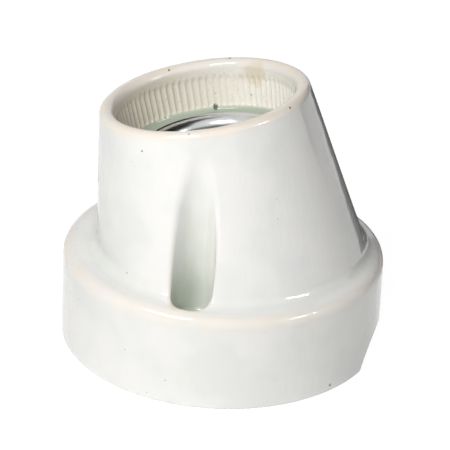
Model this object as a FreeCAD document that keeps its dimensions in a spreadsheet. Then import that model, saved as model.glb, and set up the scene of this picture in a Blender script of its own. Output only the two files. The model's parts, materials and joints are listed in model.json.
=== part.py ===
"""Slanted porcelain lamp holder for a screw-cap lamp, as a parametric document.

Frame: the origin is the centre of the base's underside, +Z points away from the ceiling or wall,
the cup leans to -X, the cable enters at +X and the two fixing holes lie at -Y and +Y.
The lamp axis leans by the lamp tilt. The lamp frame has its origin at the centre of the mouth,
its x (u) across the cup in the plane of the lean, its y (v) along Y and its z (w) out of the mouth,
so the depth of a thing in the cup is a negative w.
"""
import FreeCAD, Part
import math
import os

import Sketcher
from FreeCAD import Placement, Rotation, Vector

doc = FreeCAD.newDocument("lamp_holder")
sheet = doc.addObject("Spreadsheet::Sheet", "Sizes")


# ---------------------------------------------------------------------------------------------
# Sizes: each one is a number together with the sheet expression that gives it
# ---------------------------------------------------------------------------------------------
class Size:
    """A size in millimetres or degrees, with the expression that binds a property to it."""

    def __init__(self, value, text):
        self.value = value
        self.text = text

    def joined(self, sign, other, value):
        return Size(value, f"({self.text} {sign} {other.text})")

    def __add__(self, other):
        other = as_size(other)
        return self.joined("+", other, self.value + other.value)

    def __sub__(self, other):
        other = as_size(other)
        return self.joined("-", other, self.value - other.value)

    def __mul__(self, other):
        other = as_size(other)
        return self.joined("*", other, self.value * other.value)

    def __truediv__(self, other):
        other = as_size(other)
        return self.joined("/", other, self.value / other.value)

    def __neg__(self):
        return Size(-self.value, f"(-1 * {self.text})")

    def __radd__(self, other):
        return as_size(other) + self

    def __rsub__(self, other):
        return as_size(other) - self


def as_size(number):
    """A plain number becomes a size, and a size stays as it is."""
    return number if isinstance(number, Size) else Size(number, repr(number))


def sine(angle):
    return Size(math.sin(math.radians(angle.value)), f"sin({angle.text})")


def cosine(angle):
    return Size(math.cos(math.radians(angle.value)), f"cos({angle.text})")


def slope_angle(rise, run):
    """The angle, in degrees, of a line that rises so much over a run."""
    ratio = rise / run
    return Size(math.degrees(math.atan(ratio.value)), f"(atan({ratio.text}) / 1 deg)")


def driving(alias, number, meaning):
    """Write one driving size into the sheet and return it."""
    driving.rows += 1
    sheet.set(f"A{driving.rows}", alias)
    sheet.set(f"B{driving.rows}", str(number))
    sheet.set(f"C{driving.rows}", meaning)
    sheet.setAlias(f"B{driving.rows}", alias)
    return Size(number, f"Sizes.{alias}")


driving.rows = 0

# Base
base_radius = driving("BaseRadius", 39.0, "base, at the fixing plane")
base_draft = driving("BaseDraft", 0.3, "how much narrower the base is at its top")
base_height = driving("BaseHeight", 23.5, "fixing plane to the top of the base")
base_edge_round = driving("BaseEdgeRound", 2.8, "rounding of the base's top edge")
base_foot_round = driving("BaseFootRound", 0.6, "rounding of the base's outer foot edge")
side_wall = driving("SideWall", 5.0, "wall round the wiring chamber")
roof_wall = driving("RoofWall", 5.0, "top of the base over the wiring chamber")

# Cup
cable_side_ledge = driving("CableSideLedge", 3.95, "width of the base's top on the cable side")
lean_side_ledge = driving("LeanSideLedge", 8.25, "width of the base's top on the lean side")
lamp_tilt = driving("LampTilt", 10.0, "lean of the lamp axis, degrees")
axis_foot = driving("AxisFoot", 4.43, "where the lamp axis meets the fixing plane, along X")
mouth_reach = driving("MouthReach", 62.35, "fixing plane to the mouth, along the lamp axis")
rim_wall = driving("RimWall", 3.3, "wall of the cup at its mouth")
cup_wall = driving("CupWall", 5.0, "wall of the cup beside the hollow jacket")
cup_foot_round = driving("CupFootRound", 1.3, "hollow rounding where the cup meets the base")
rim_outer_round = driving("RimOuterRound", 1.4, "outer rounding of the rim")
rim_inner_round = driving("RimInnerRound", 1.8, "inner rounding of the rim")

# Bore and well
bore_taper = driving("BoreTaper", 1.1, "how much wider the bore is at the mouth than at the ledge")
lip_margin = driving("LipMargin", 3.4, "shell's lip to the wall of the bore, on the ledge")
ledge_depth = driving("LedgeDepth", 12.35, "mouth to the ledge that carries the shell")
ledge_round = driving("LedgeRound", 0.8, "hollow rounding between ledge and bore")
rib_count = driving("RibCount", 80, "hollow flutes round the bore, with a rib between each two")
rib_depth = driving("RibDepth", 0.35, "depth of a flute in the bore's wall")
rib_cut_radius = driving("RibCutRadius", 0.96, "hollow of a flute")
rib_start = driving("RibStart", 0.6, "mouth to the point of the tool that cuts a flute")
rib_fade = driving("RibFade", 4.0, "length of that tool's taper")
shell_play = driving("ShellPlay", 1.2, "shell to the wall of its well")
well_bevel = driving("WellBevel", 1.2, "bevel of the ledge's inner edge, under the shell's flare")
well_depth = driving("WellDepth", 37.0, "mouth to the floor of the well")
well_wall = driving("WellWall", 4.5, "wall of the well under the cup")
floor_thickness = driving("FloorThickness", 6.0, "floor of the well")
jacket_depth = driving("JacketDepth", 22.0, "mouth to the top of the hollow round the well")

# Fixing holes with their pockets and flutes
hole_edge_distance = driving("HoleEdgeDistance", 9.0, "fixing hole to the edge of the base")
hole_radius = driving("HoleRadius", 2.5, "fixing hole")
pocket_radius = driving("PocketRadius", 4.9, "pocket and flute over a fixing hole")
pocket_depth = driving("PocketDepth", 5.5, "top of the base to the pocket's floor")
pillar_radius = driving("PillarRadius", 7.5, "pillar round a fixing hole")

# Cable entry
notch_radius = driving("NotchRadius", 12.0, "arch of the cable entry")
notch_height = driving("NotchHeight", 6.5, "fixing plane to the top of the arch")
notch_round = driving("NotchRound", 1.0, "rounding of the arch's outer edge")

# Screw shell
sheet_thickness = driving("SheetThickness", 0.45, "sheet metal of the shell")
shell_radius = driving("ShellRadius", 13.35, "inside of the screw shell")
lip_seat = driving("LipSeat", 2.0, "width of the ledge under the shell's lip")
lip_bead_round = driving("LipBeadRound", 0.375, "rolled bead at the lip's edge")
lip_flare_round = driving("LipFlareRound", 2.65, "flare from the lip into the shell")
neck_height = driving("NeckHeight", 6.0, "floor of the shell to the end of its threaded length")
neck_step = driving("NeckStep", 1.55, "how much narrower the neck is than the threaded length")
head_play = driving("HeadPlay", 0.3, "head of a shell screw to the neck")
window_land = driving("WindowLand", 1.1, "head of a shell screw to the window in the shell's floor")
window_margin = driving("WindowMargin", 0.4, "end of the window to the neck")

# Centre contact
leaf_thickness = driving("LeafThickness", 0.5, "spring leaf")
leaf_width = driving("LeafWidth", 5.0, "spring leaf")
leaf_tail = driving("LeafTail", 2.2, "end of the leaf's foot beyond its screw")
leaf_bend_offset = driving("LeafBendOffset", 4.4, "lamp axis to the centre of the leaf's bend")
leaf_bend_radius = driving("LeafBendRadius", 1.9, "outside of the leaf's bend")
leaf_rise_angle = driving("LeafRiseAngle", 25.0, "slope of the leaf after its bend, degrees")
leaf_head_reach = driving("LeafHeadReach", 3.0, "half length of the leaf's flat head")
button_radius = driving("ButtonRadius", 2.4, "contact button")
button_height = driving("ButtonHeight", 1.15, "contact button over the leaf")
button_tail_radius = driving("ButtonTailRadius", 1.1, "shank of the button in the leaf")
button_rivet_radius = driving("ButtonRivetRadius", 1.7, "closed head of the button under the leaf")
button_rivet_height = driving("ButtonRivetHeight", 0.5, "closed head of the button under the leaf")
leaf_foot_play = driving("LeafFootPlay", 2.6, "end of the leaf's foot to the end of the window")

# Screws, nut and washers
screw_radius = driving("ScrewRadius", 1.45, "shank of a screw")
screw_head_radius = driving("ScrewHeadRadius", 2.6, "cheese head")
screw_head_height = driving("ScrewHeadHeight", 1.8, "cheese head")
screw_end = driving("ScrewEnd", 0.8, "end of a screw beyond its nut or plate")
driver_slot_width = driving("DriverSlotWidth", 0.7, "slot for the screwdriver")
driver_slot_depth = driving("DriverSlotDepth", 0.8, "slot for the screwdriver")
tapped_clearance = driving("TappedClearance", 0.05, "screw shank to a tapped hole")
free_clearance = driving("FreeClearance", 0.35, "screw shank to a plain hole")
washer_thickness = driving("WasherThickness", 0.7, "spring washer")
washer_radius = driving("WasherRadius", 2.6, "spring washer")
washer_gap = driving("WasherGap", 0.6, "split of the spring washer")
nut_across_flats = driving("NutAcrossFlats", 5.5, "hexagon nut")
nut_height = driving("NutHeight", 2.4, "hexagon nut")

# Terminals under the floor
plate_thickness = driving("PlateThickness", 2.0, "terminal plate")
plate_width = driving("PlateWidth", 7.0, "terminal plate")
centre_clamp_reach = driving("CentreClampReach", 7.6, "contact screw to its clamp screw")
shell_clamp_reach = driving("ShellClampReach", 10.2, "shell's terminal screw to its clamp screw")
plate_end = driving("PlateEnd", 3.9, "end of a plate beyond its clamp screw")
saddle_thickness = driving("SaddleThickness", 1.0, "clamp saddle")
saddle_length = driving("SaddleLength", 6.6, "clamp saddle, along its plate")
saddle_lug_height = driving("SaddleLugHeight", 1.2, "turned-up lug of the saddle")
saddle_play = driving("SaddlePlay", 0.25, "lug to the plate's edge")
clamp_screw_reach = driving("ClampScrewReach", 3.0, "end of a clamp screw beyond its plate")
clamp_well_radius = driving("ClampWellRadius", 2.2, "blind hole in the floor over a clamp screw")
clamp_well_depth = driving("ClampWellDepth", 4.0, "blind hole in the floor over a clamp screw")

# Worked out from the sizes above
well_radius = shell_radius + sheet_thickness + shell_play
lip_radius = well_radius + lip_seat
bore_ledge_radius = lip_radius + lip_margin
bore_mouth_radius = bore_ledge_radius + bore_taper
mouth_radius = bore_mouth_radius + rim_wall
thread_end_depth = well_depth - neck_height
neck_radius = shell_radius - neck_step
shell_screw_offset = neck_radius - head_play - screw_head_radius
contact_window_width = (shell_screw_offset - screw_head_radius - window_land) * 2
contact_window_length = (neck_radius - window_margin) * 2
contact_screw_offset = contact_window_length / 2 - leaf_foot_play - leaf_tail
centre_clamp_offset = contact_screw_offset + centre_clamp_reach
base_top_radius = base_radius - base_draft
foot_radius = base_top_radius - (cable_side_ledge + lean_side_ledge) / 2
foot_centre = (lean_side_ledge - cable_side_ledge) / 2
mouth_x = axis_foot - mouth_reach * sine(lamp_tilt)
mouth_z = mouth_reach * cosine(lamp_tilt)
hole_offset = base_radius - hole_edge_distance
tube_radius = well_radius + well_wall
floor_under = well_depth + floor_thickness
chamber_radius = base_radius - side_wall
chamber_height = base_height - roof_wall
jacket_share = jacket_depth / (mouth_reach - base_height / cosine(lamp_tilt))
jacket_radius = mouth_radius + jacket_share * (foot_radius - mouth_radius) - cup_wall
plate_under = floor_under + plate_thickness
saddle_under = plate_under + saddle_thickness
leaf_top = well_depth - leaf_thickness
tapped_radius = screw_radius + tapped_clearance
free_radius = screw_radius + free_clearance

doc.recompute()


# ---------------------------------------------------------------------------------------------
# Helpers for sketches and features
# ---------------------------------------------------------------------------------------------
def bind(thing, path, size):
    """Bind one property of a document object to a size."""
    thing.setExpression(path, as_size(size).text)


def new_body(label):
    body = doc.addObject("PartDesign::Body", label)
    body.Label = label
    return body


def seat_in_cup(body, u, v, w, upside_down=False):
    """Place a body at a point of the lamp frame, its z out of the mouth or, turned over, into it."""
    u, v, w = as_size(u), as_size(v), as_size(w)
    east, up = cosine(lamp_tilt), sine(lamp_tilt)
    turn = 180 - lamp_tilt if upside_down else -lamp_tilt
    body.Placement = Placement(Vector(), Rotation(Vector(0, 1, 0), turn.value))
    bind(body, ".Placement.Base.x", mouth_x + u * east - w * up)
    bind(body, ".Placement.Base.y", v)
    bind(body, ".Placement.Base.z", mouth_z + u * up + w * east)
    bind(body, ".Placement.Rotation.Angle", turn)


def new_sketch(body, name, role, shift=(0, 0, 0), turn=None, about=Vector(0, 0, 1)):
    """A sketch on one of its body's own origin planes, shifted and turned in that plane's frame."""
    sketch = body.newObject("Sketcher::SketchObject", name)
    plane = next(item for item in body.Origin.OriginFeatures if item.Role == role)
    sketch.AttachmentSupport = [(plane, "")]
    sketch.MapMode = "FlatFace"
    angle = turn.value if turn else 0
    sketch.AttachmentOffset = Placement(Vector(), Rotation(about, angle))
    for axis, size in zip("xyz", shift):
        bind(sketch, f".AttachmentOffset.Base.{axis}", size)
    if turn:
        bind(sketch, ".AttachmentOffset.Rotation.Angle", turn)
    return sketch


def hold(sketch, direction, geometry, position, size):
    """Fix one point of a sketch at a distance along "X" or "Y" from the sketch's origin."""
    if size.value == 0:
        axis = {"X": -2, "Y": -1}[direction]
        sketch.addConstraint(Sketcher.Constraint("PointOnObject", geometry, position, axis))
        return
    rule = Sketcher.Constraint(f"Distance{direction}", -1, 1, geometry, position, size.value)
    bind(sketch, f"Constraints[{sketch.addConstraint(rule)}]", size)


def hold_point(sketch, geometry, position, x, y):
    hold(sketch, "X", geometry, position, x)
    hold(sketch, "Y", geometry, position, y)


def draw_circle(sketch, x, y, radius):
    x, y = as_size(x), as_size(y)
    centre = Vector(x.value, y.value, 0)
    circle = sketch.addGeometry(Part.Circle(centre, Vector(0, 0, 1), radius.value), False)
    rule = sketch.addConstraint(Sketcher.Constraint("Radius", circle, radius.value))
    bind(sketch, f"Constraints[{rule}]", radius)
    hold_point(sketch, circle, 3, x, y)


def arc_between(start, end, radius, side):
    """The arc between two points; side 1 bulges to the left of the way there, -1 to the right.

    A sketch's arc runs counter-clockwise, so one that bulges to the left is drawn from its end.
    """
    half = (end - start) * 0.5
    left = Vector(-half.y, half.x, 0).normalize()
    drop = math.sqrt(max(radius ** 2 - half.Length ** 2, 0))
    crest = start + half + left * side * (radius - drop)
    return Part.Arc(end, crest, start) if side > 0 else Part.Arc(start, crest, end)


def draw_outline(sketch, corners):
    """A closed outline. A corner is (x, y), or (x, y, radius, side) where an arc leads to it.

    A half circle stands on an upright chord, and its centre is held instead of its radius.
    """
    corners = [tuple(as_size(item) for item in corner[:2]) + tuple(corner[2:]) for corner in corners]
    points = [Vector(corner[0].value, corner[1].value, 0) for corner in corners]
    lines = []
    for index, corner in enumerate(corners):
        start, end = points[index - 1], points[index]
        if len(corner) == 2:
            edge = sketch.addGeometry(Part.LineSegment(start, end), False)
            lines.append((edge, 1, 2))
            continue
        radius, side = corner[2:]
        edge = sketch.addGeometry(arc_between(start, end, radius.value, side), False)
        lines.append((edge, 2, 1) if side > 0 else (edge, 1, 2))
        upright = abs(end.x - start.x) < 1e-9
        if upright and abs((end - start).Length - 2 * radius.value) < 1e-6:
            hold(sketch, "X", edge, 3, corner[0])
            continue
        rule = sketch.addConstraint(Sketcher.Constraint("Radius", edge, radius.value))
        bind(sketch, f"Constraints[{rule}]", radius)
    for index, (edge, start, end) in enumerate(lines):
        following = lines[(index + 1) % len(lines)]
        link = Sketcher.Constraint("Coincident", edge, end, following[0], following[1])
        sketch.addConstraint(link)
        hold_point(sketch, edge, end, corners[index][0], corners[index][1])


def draw_rectangle(sketch, x, y, length, width):
    """A rectangle by its centre and its full length and width."""
    low_x, high_x = x - length / 2, x + length / 2
    low_y, high_y = y - width / 2, y + width / 2
    draw_outline(sketch, [(low_x, low_y), (high_x, low_y), (high_x, high_y), (low_x, high_y)])


def settled(feature, adds=None):
    """Recompute, and stop unless the feature is sound and changes the volume the right way."""
    doc.recompute()
    wrong = "Invalid" in feature.State or "Error" in feature.State
    if wrong or not feature.Shape.isValid() or len(feature.Shape.Solids) != 1:
        raise RuntimeError(f"{feature.Name} failed: {feature.State}")
    if adds is not None:
        change = feature.Shape.Volume - feature.BaseFeature.Shape.Volume
        if change == 0 or (change > 0) != adds:
            raise RuntimeError(f"{feature.Name} changed the volume by {change:.3f}")
    return feature


def revolve(body, name, sketch):
    feature = body.newObject("PartDesign::Revolution", name)
    feature.Profile = sketch
    feature.ReferenceAxis = (sketch, ["V_Axis"])
    feature.Angle = 360
    return settled(feature)


def groove(body, name, sketch, slight=False):
    """Cut a turned shape; the change of volume is left unchecked where it is slight."""
    feature = body.newObject("PartDesign::Groove", name)
    feature.Profile = sketch
    feature.Refine = False
    feature.ReferenceAxis = (sketch, ["V_Axis"])
    feature.Angle = 360
    return settled(feature, adds=None if slight else False)


def pad(body, name, sketch, length, both_ways=False):
    """Faces stay as they are cut: merging them afterwards can lose a solid."""
    feature = body.newObject("PartDesign::Pad", name)
    feature.Profile = sketch
    feature.Midplane = both_ways
    feature.Refine = False
    bind(feature, "Length", length)
    return settled(feature)


def pocket(body, name, sketch, depth=None, upwards=False, both_ways=False):
    """Cut a sketch's outline to a depth, or through everything, against or along its normal."""
    feature = body.newObject("PartDesign::Pocket", name)
    feature.Profile = sketch
    feature.Reversed = upwards
    feature.Midplane = both_ways
    feature.Refine = False
    if depth is None:
        feature.Type = "ThroughAll"
    else:
        bind(feature, "Length", depth)
    return settled(feature, adds=False)


def repeat_round(body, name, feature, axis_sketch, count):
    """Repeat a cut at equal steps round the upright axis of a sketch."""
    pattern = body.newObject("PartDesign::PolarPattern", name)
    pattern.Originals = [feature]
    pattern.Axis = (axis_sketch, ["V_Axis"])
    pattern.Angle = 360
    pattern.Refine = False
    bind(pattern, "Occurrences", count)
    body.Tip = pattern
    faces_before = len(feature.Shape.Faces)
    settled(pattern)
    if len(pattern.Shape.Faces) < faces_before + count.value - 1:
        raise RuntimeError(f"{name} left out some of its cuts")
    return pattern


def fillet(body, name, wanted, radius):
    """Round the edges of the body's last feature that wanted(edge) picks."""
    tip = body.Tip
    picked = [f"Edge{number}" for number, edge in enumerate(tip.Shape.Edges, 1) if wanted(edge)]
    if not picked:
        raise RuntimeError(f"{name} found no edge")
    feature = body.newObject("PartDesign::Fillet", name)
    feature.Base = (tip, picked)
    bind(feature, "Radius", radius)
    return settled(feature)


def ring_at(centre, radius):
    """Picks a whole circle, or a ring close to one, by its centre and radius."""
    around = 2 * math.pi * radius.value

    def wanted(edge):
        near = (edge.CenterOfMass - centre).Length < 0.2
        return near and abs(edge.Length - around) < 0.02 * around

    return wanted


def in_cup(depth):
    """The point on the lamp axis at a depth below the mouth."""
    tilt = math.radians(lamp_tilt.value)
    along = Vector(-math.sin(tilt), 0, math.cos(tilt))
    return Vector(mouth_x.value, 0, mouth_z.value) - along * as_size(depth).value


# ---------------------------------------------------------------------------------------------
# Porcelain body
# ---------------------------------------------------------------------------------------------
def lean_plane_sketch(body, name):
    """A sketch in the plane of the lean, with its v axis on the lamp axis and 0 at the mouth."""
    return new_sketch(body, name, "XZ_Plane", (mouth_x, mouth_z, 0), lamp_tilt)


def cup_plane_sketch(body, name, depth):
    """A sketch square to the lamp axis at a depth below the mouth."""
    depth = as_size(depth)
    x = mouth_x + depth * sine(lamp_tilt)
    z = mouth_z - depth * cosine(lamp_tilt)
    return new_sketch(body, name, "XY_Plane", (x, 0, z), -lamp_tilt, Vector(0, 1, 0))


def loft(body, name, lower, upper):
    feature = body.newObject("PartDesign::AdditiveLoft", name)
    feature.Profile = lower
    feature.Sections = [upper]
    feature.Ruled = True
    return settled(feature)


def make_chamber_core():
    """The core that leaves the wiring chamber and the jacket round the well in the porcelain."""
    core = new_body("chamber_core")

    profile = new_sketch(core, "CoreDisc", "XZ_Plane")
    corners = [(0, 0), (chamber_radius, 0), (chamber_radius, chamber_height), (0, chamber_height)]
    draw_outline(profile, corners)
    revolve(core, "CoreDiscTurned", profile)

    lower = new_sketch(core, "JacketFoot", "XY_Plane", (0, 0, chamber_height))
    draw_circle(lower, foot_centre, 0, foot_radius - cup_wall)
    upper = cup_plane_sketch(core, "JacketTop", jacket_depth)
    draw_circle(upper, 0, 0, jacket_radius)
    loft(core, "Jacket", lower, upper)

    tube = lean_plane_sketch(core, "WellTube")
    top = jacket_depth / 2
    draw_outline(tube, [(0, -floor_under), (tube_radius, -floor_under), (tube_radius, -top), (0, -top)])
    groove(core, "WellTubeLeft", tube)

    pillars = new_sketch(core, "Pillars", "XY_Plane")
    for side in (-1, 1):
        draw_circle(pillars, 0, hole_offset * side, pillar_radius)
    pocket(core, "PillarsLeft", pillars, both_ways=True)
    return core


def outer_arch(edge):
    """Picks the arch of the cable entry where it comes out of the base's side."""
    middle = edge.CenterOfMass
    outside = middle.x > chamber_radius.value + side_wall.value / 2
    in_arch = 0 < middle.z < notch_height.value and abs(middle.y) < notch_radius.value
    return outside and in_arch and edge.Length > notch_height.value


def outer_foot(edge):
    """Picks the outer edge of the foot, which the cable entry leaves open."""
    outside = all(math.hypot(*vertex.Point[:2]) > chamber_radius.value for vertex in edge.Vertexes)
    return outside and abs(edge.CenterOfMass.z) < 1e-3 and edge.Length > math.pi * base_radius.value


def cut_ribs(body, well):
    """Hollow flutes up the bore: a pointed round tool laid along its wall, repeated round its axis."""
    tool_offset = bore_mouth_radius - (rib_cut_radius - rib_depth)
    x = mouth_x + tool_offset * cosine(lamp_tilt)
    z = mouth_z + tool_offset * sine(lamp_tilt)
    wall_tilt = lamp_tilt - slope_angle(bore_taper, ledge_depth)
    tool = new_sketch(body, "RibTool", "XZ_Plane", (x, z, 0), wall_tilt)
    end = ledge_depth - ledge_round
    corners = [
        (0, -rib_start),
        (-rib_cut_radius, -rib_start - rib_fade),
        (-rib_cut_radius, rib_cut_radius - end),
        (0, -end),
    ]
    draw_outline(tool, corners)
    flute = groove(body, "RibFlute", tool, slight=True)
    repeat_round(body, "RibFlutes", flute, well, rib_count)


def make_porcelain_body():
    body = new_body("porcelain_body")

    profile = new_sketch(body, "BaseProfile", "XZ_Plane")
    corners = [(0, 0), (base_radius, 0), (base_top_radius, base_height), (0, base_height)]
    draw_outline(profile, corners)
    revolve(body, "Base", profile)

    foot = new_sketch(body, "CupFoot", "XY_Plane", (0, 0, base_height))
    draw_circle(foot, foot_centre, 0, foot_radius)
    mouth = cup_plane_sketch(body, "CupMouth", 0)
    draw_circle(mouth, 0, 0, mouth_radius)
    loft(body, "Cup", foot, mouth)

    foot_point = Vector(foot_centre.value, 0, base_height.value)
    base_top_point = Vector(0, 0, base_height.value)
    fillet(body, "RimOuterRounding", ring_at(in_cup(0), mouth_radius), rim_outer_round)
    fillet(body, "BaseEdgeRounding", ring_at(base_top_point, base_top_radius), base_edge_round)
    fillet(body, "CupFootRounding", ring_at(foot_point, foot_radius), cup_foot_round)

    pocket_floor = base_height - pocket_depth
    pockets = new_sketch(body, "FlutesAndPockets", "XY_Plane", (0, 0, pocket_floor))
    holes = new_sketch(body, "FixingHoles", "XY_Plane", (0, 0, pocket_floor))
    for side in (-1, 1):
        draw_circle(pockets, 0, hole_offset * side, pocket_radius)
        draw_circle(holes, 0, hole_offset * side, hole_radius)
    pocket(body, "FlutesAndPocketsCut", pockets, upwards=True)
    pocket(body, "FixingHolesCut", holes)

    chamber = body.newObject("PartDesign::Boolean", "Chamber")
    chamber.setObjects([make_chamber_core()])
    chamber.Type = "Cut"
    settled(chamber)

    well = lean_plane_sketch(body, "WellProfile")
    over_mouth = rim_inner_round
    rim_edge = bore_mouth_radius + rim_inner_round
    corners = [
        (0, over_mouth),
        (rim_edge, over_mouth),
        (rim_edge, 0),
        (bore_mouth_radius, -rim_inner_round, rim_inner_round, -1),
        (bore_ledge_radius, -ledge_depth),
        (well_radius + well_bevel, -ledge_depth),
        (well_radius, -ledge_depth - well_bevel),
        (well_radius, -well_depth),
        (0, -well_depth),
    ]
    draw_outline(well, corners)
    groove(body, "Well", well)
    fillet(body, "LedgeRounding", ring_at(in_cup(ledge_depth), bore_ledge_radius), ledge_round)

    screws = cup_plane_sketch(body, "FloorHoles", well_depth)
    for u, v in ((0, shell_screw_offset), (0, -shell_screw_offset), (-contact_screw_offset, 0)):
        draw_circle(screws, u, v, free_radius)
    pocket(body, "FloorHolesCut", screws)

    wells = cup_plane_sketch(body, "ClampWells", floor_under)
    draw_circle(wells, -centre_clamp_offset, 0, clamp_well_radius)
    draw_circle(wells, shell_clamp_reach, shell_screw_offset, clamp_well_radius)
    pocket(body, "ClampWellsCut", wells, clamp_well_depth, upwards=True)

    arch = new_sketch(body, "CableEntry", "YZ_Plane")
    draw_circle(arch, 0, notch_height - notch_radius, notch_radius)
    pocket(body, "CableEntryCut", arch, upwards=True)
    fillet(body, "CableEntryRounding", outer_arch, notch_round)
    fillet(body, "BaseFootRounding", outer_foot, base_foot_round)
    cut_ribs(body, well)
    return body


# ---------------------------------------------------------------------------------------------
# Screw shell
# ---------------------------------------------------------------------------------------------
def make_screw_shell():
    """One drawn sheet: rolled lip on the ledge, flare, threaded length, neck and floor."""
    body = new_body("screw_shell")
    seat_in_cup(body, 0, 0, 0)

    lip_inner = lip_radius - lip_bead_round
    lip_top = lip_bead_round * 2 - ledge_depth
    flare_edge = shell_radius + lip_flare_round
    flare_top = sheet_thickness - ledge_depth
    flare_end = flare_top - lip_flare_round
    outer = shell_radius + sheet_thickness
    outer_flare = lip_flare_round - sheet_thickness
    neck_outer = neck_radius + sheet_thickness
    neck_drop = shell_radius - neck_radius

    profile = new_sketch(body, "ShellProfile", "XZ_Plane")
    corners = [
        (0, -well_depth),
        (neck_outer, -well_depth),
        (neck_outer, -thread_end_depth - neck_drop),
        (outer, -thread_end_depth),
        (outer, flare_end),
        (flare_edge, -ledge_depth, outer_flare, 1),
        (lip_inner, -ledge_depth),
        (lip_inner, lip_top, lip_bead_round, -1),
        (flare_edge, flare_top),
        (shell_radius, flare_end, lip_flare_round, -1),
        (shell_radius, -thread_end_depth),
        (neck_radius, -thread_end_depth - neck_drop),
        (neck_radius, sheet_thickness - well_depth),
        (0, sheet_thickness - well_depth),
    ]
    draw_outline(profile, corners)
    revolve(body, "DrawnShell", profile)

    window = new_sketch(body, "ContactWindow", "XY_Plane", (0, 0, -well_depth))
    end_round = contact_window_width / 2
    straight = contact_window_length / 2 - end_round
    corners = [
        (-straight, -end_round, end_round, -1),
        (straight, -end_round),
        (straight, end_round, end_round, -1),
        (-straight, end_round),
    ]
    draw_outline(window, corners)
    pocket(body, "ContactWindowCut", window, sheet_thickness, upwards=True)

    holes = new_sketch(body, "ShellScrewHoles", "XY_Plane", (0, 0, -well_depth))
    for side in (-1, 1):
        draw_circle(holes, 0, shell_screw_offset * side, free_radius)
    pocket(body, "ShellScrewHolesCut", holes, sheet_thickness, upwards=True)
    return body


# ---------------------------------------------------------------------------------------------
# Centre contact: a spring leaf on the floor of the well, with a button riveted to its head
# ---------------------------------------------------------------------------------------------
def leaf_line(radius):
    """The leaf's side at one radius of its bend: where it leaves the bend and meets the head."""
    bend_w = leaf_bend_radius - well_depth
    leave_u = leaf_bend_offset + radius * sine(leaf_rise_angle)
    leave_w = bend_w + radius * cosine(leaf_rise_angle)
    slope = sine(leaf_rise_angle) / cosine(leaf_rise_angle)
    meet_w = leave_w + (leave_u - leaf_head_reach) * slope
    return leave_u, leave_w, meet_w


def make_contact_leaf():
    body = new_body("contact_leaf")
    seat_in_cup(body, 0, 0, 0)

    foot_end = -contact_screw_offset - leaf_tail
    inner_bend = leaf_bend_radius - leaf_thickness
    top_u, top_w, head_w = leaf_line(leaf_bend_radius)
    under_u, under_w, under_meet = leaf_line(inner_bend)
    profile = new_sketch(body, "LeafProfile", "XZ_Plane")
    corners = [
        (foot_end, -well_depth),
        (leaf_bend_offset, -well_depth),
        (top_u, top_w, leaf_bend_radius, -1),
        (leaf_head_reach, head_w),
        (-leaf_head_reach, head_w),
        (-leaf_head_reach, head_w - leaf_thickness),
        (leaf_head_reach + head_w - leaf_thickness - under_meet, head_w - leaf_thickness),
        (under_u, under_w),
        (leaf_bend_offset, -leaf_top, inner_bend, 1),
        (foot_end, -leaf_top),
    ]
    draw_outline(profile, corners)
    pad(body, "Leaf", profile, leaf_width, both_ways=True)

    foot_hole = new_sketch(body, "FootHole", "XY_Plane", (0, 0, -well_depth))
    draw_circle(foot_hole, -contact_screw_offset, 0, free_radius)
    pocket(body, "FootHoleCut", foot_hole, leaf_thickness, upwards=True)
    head_hole = new_sketch(body, "HeadHole", "XY_Plane", (0, 0, head_w - leaf_thickness))
    draw_circle(head_hole, 0, 0, button_tail_radius + tapped_clearance)
    pocket(body, "HeadHoleCut", head_hole, leaf_thickness, upwards=True)
    return body


def make_contact_button():
    """The button's flat back lies on the leaf's head and its rivet closes under the leaf."""
    body = new_body("contact_button")
    head_w = leaf_line(leaf_bend_radius)[2]
    seat_in_cup(body, 0, 0, head_w)

    crown = button_height / 2
    under = leaf_thickness + button_rivet_height
    profile = new_sketch(body, "ButtonProfile", "XZ_Plane")
    corners = [
        (0, -under),
        (button_rivet_radius, -under),
        (button_rivet_radius, -leaf_thickness),
        (button_tail_radius, -leaf_thickness),
        (button_tail_radius, 0),
        (button_radius, 0),
        (button_radius, crown),
        (button_radius - crown, button_height),
        (0, button_height),
    ]
    draw_outline(profile, corners)
    revolve(body, "Button", profile)
    return body


# ---------------------------------------------------------------------------------------------
# Screws, washers and nut: each stands on its seat, z towards its head
# ---------------------------------------------------------------------------------------------
def make_cheese_head_screw(label, u, v, w, length, upside_down=False):
    """A slotted cheese-head screw with its head's flat face on the seat."""
    body = new_body(label)
    seat_in_cup(body, u, v, w, upside_down)

    tip_bevel = screw_radius / 4
    profile = new_sketch(body, "ScrewProfile", "XZ_Plane")
    corners = [
        (0, -length),
        (screw_radius - tip_bevel, -length),
        (screw_radius, tip_bevel - length),
        (screw_radius, 0),
        (screw_head_radius, 0),
        (screw_head_radius, screw_head_height),
        (0, screw_head_height),
    ]
    draw_outline(profile, corners)
    revolve(body, "Turned", profile)

    slot = new_sketch(body, "DriverSlot", "XY_Plane", (0, 0, screw_head_height))
    draw_rectangle(slot, as_size(0), as_size(0), screw_head_radius * 3, driver_slot_width)
    pocket(body, "DriverSlotCut", slot, driver_slot_depth)
    return body


def make_spring_washer(label, u, v, w):
    """A split spring washer, tightened flat, with its lower face on the seat."""
    body = new_body(label)
    seat_in_cup(body, u, v, w)

    ring = new_sketch(body, "Ring", "XY_Plane")
    draw_circle(ring, 0, 0, washer_radius)
    draw_circle(ring, 0, 0, free_radius)
    pad(body, "Washer", ring, washer_thickness)
    split = new_sketch(body, "Split", "XY_Plane")
    draw_rectangle(split, washer_radius, as_size(0), washer_radius * 2, washer_gap)
    pocket(body, "SplitCut", split, washer_thickness, upwards=True)
    return body


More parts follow.
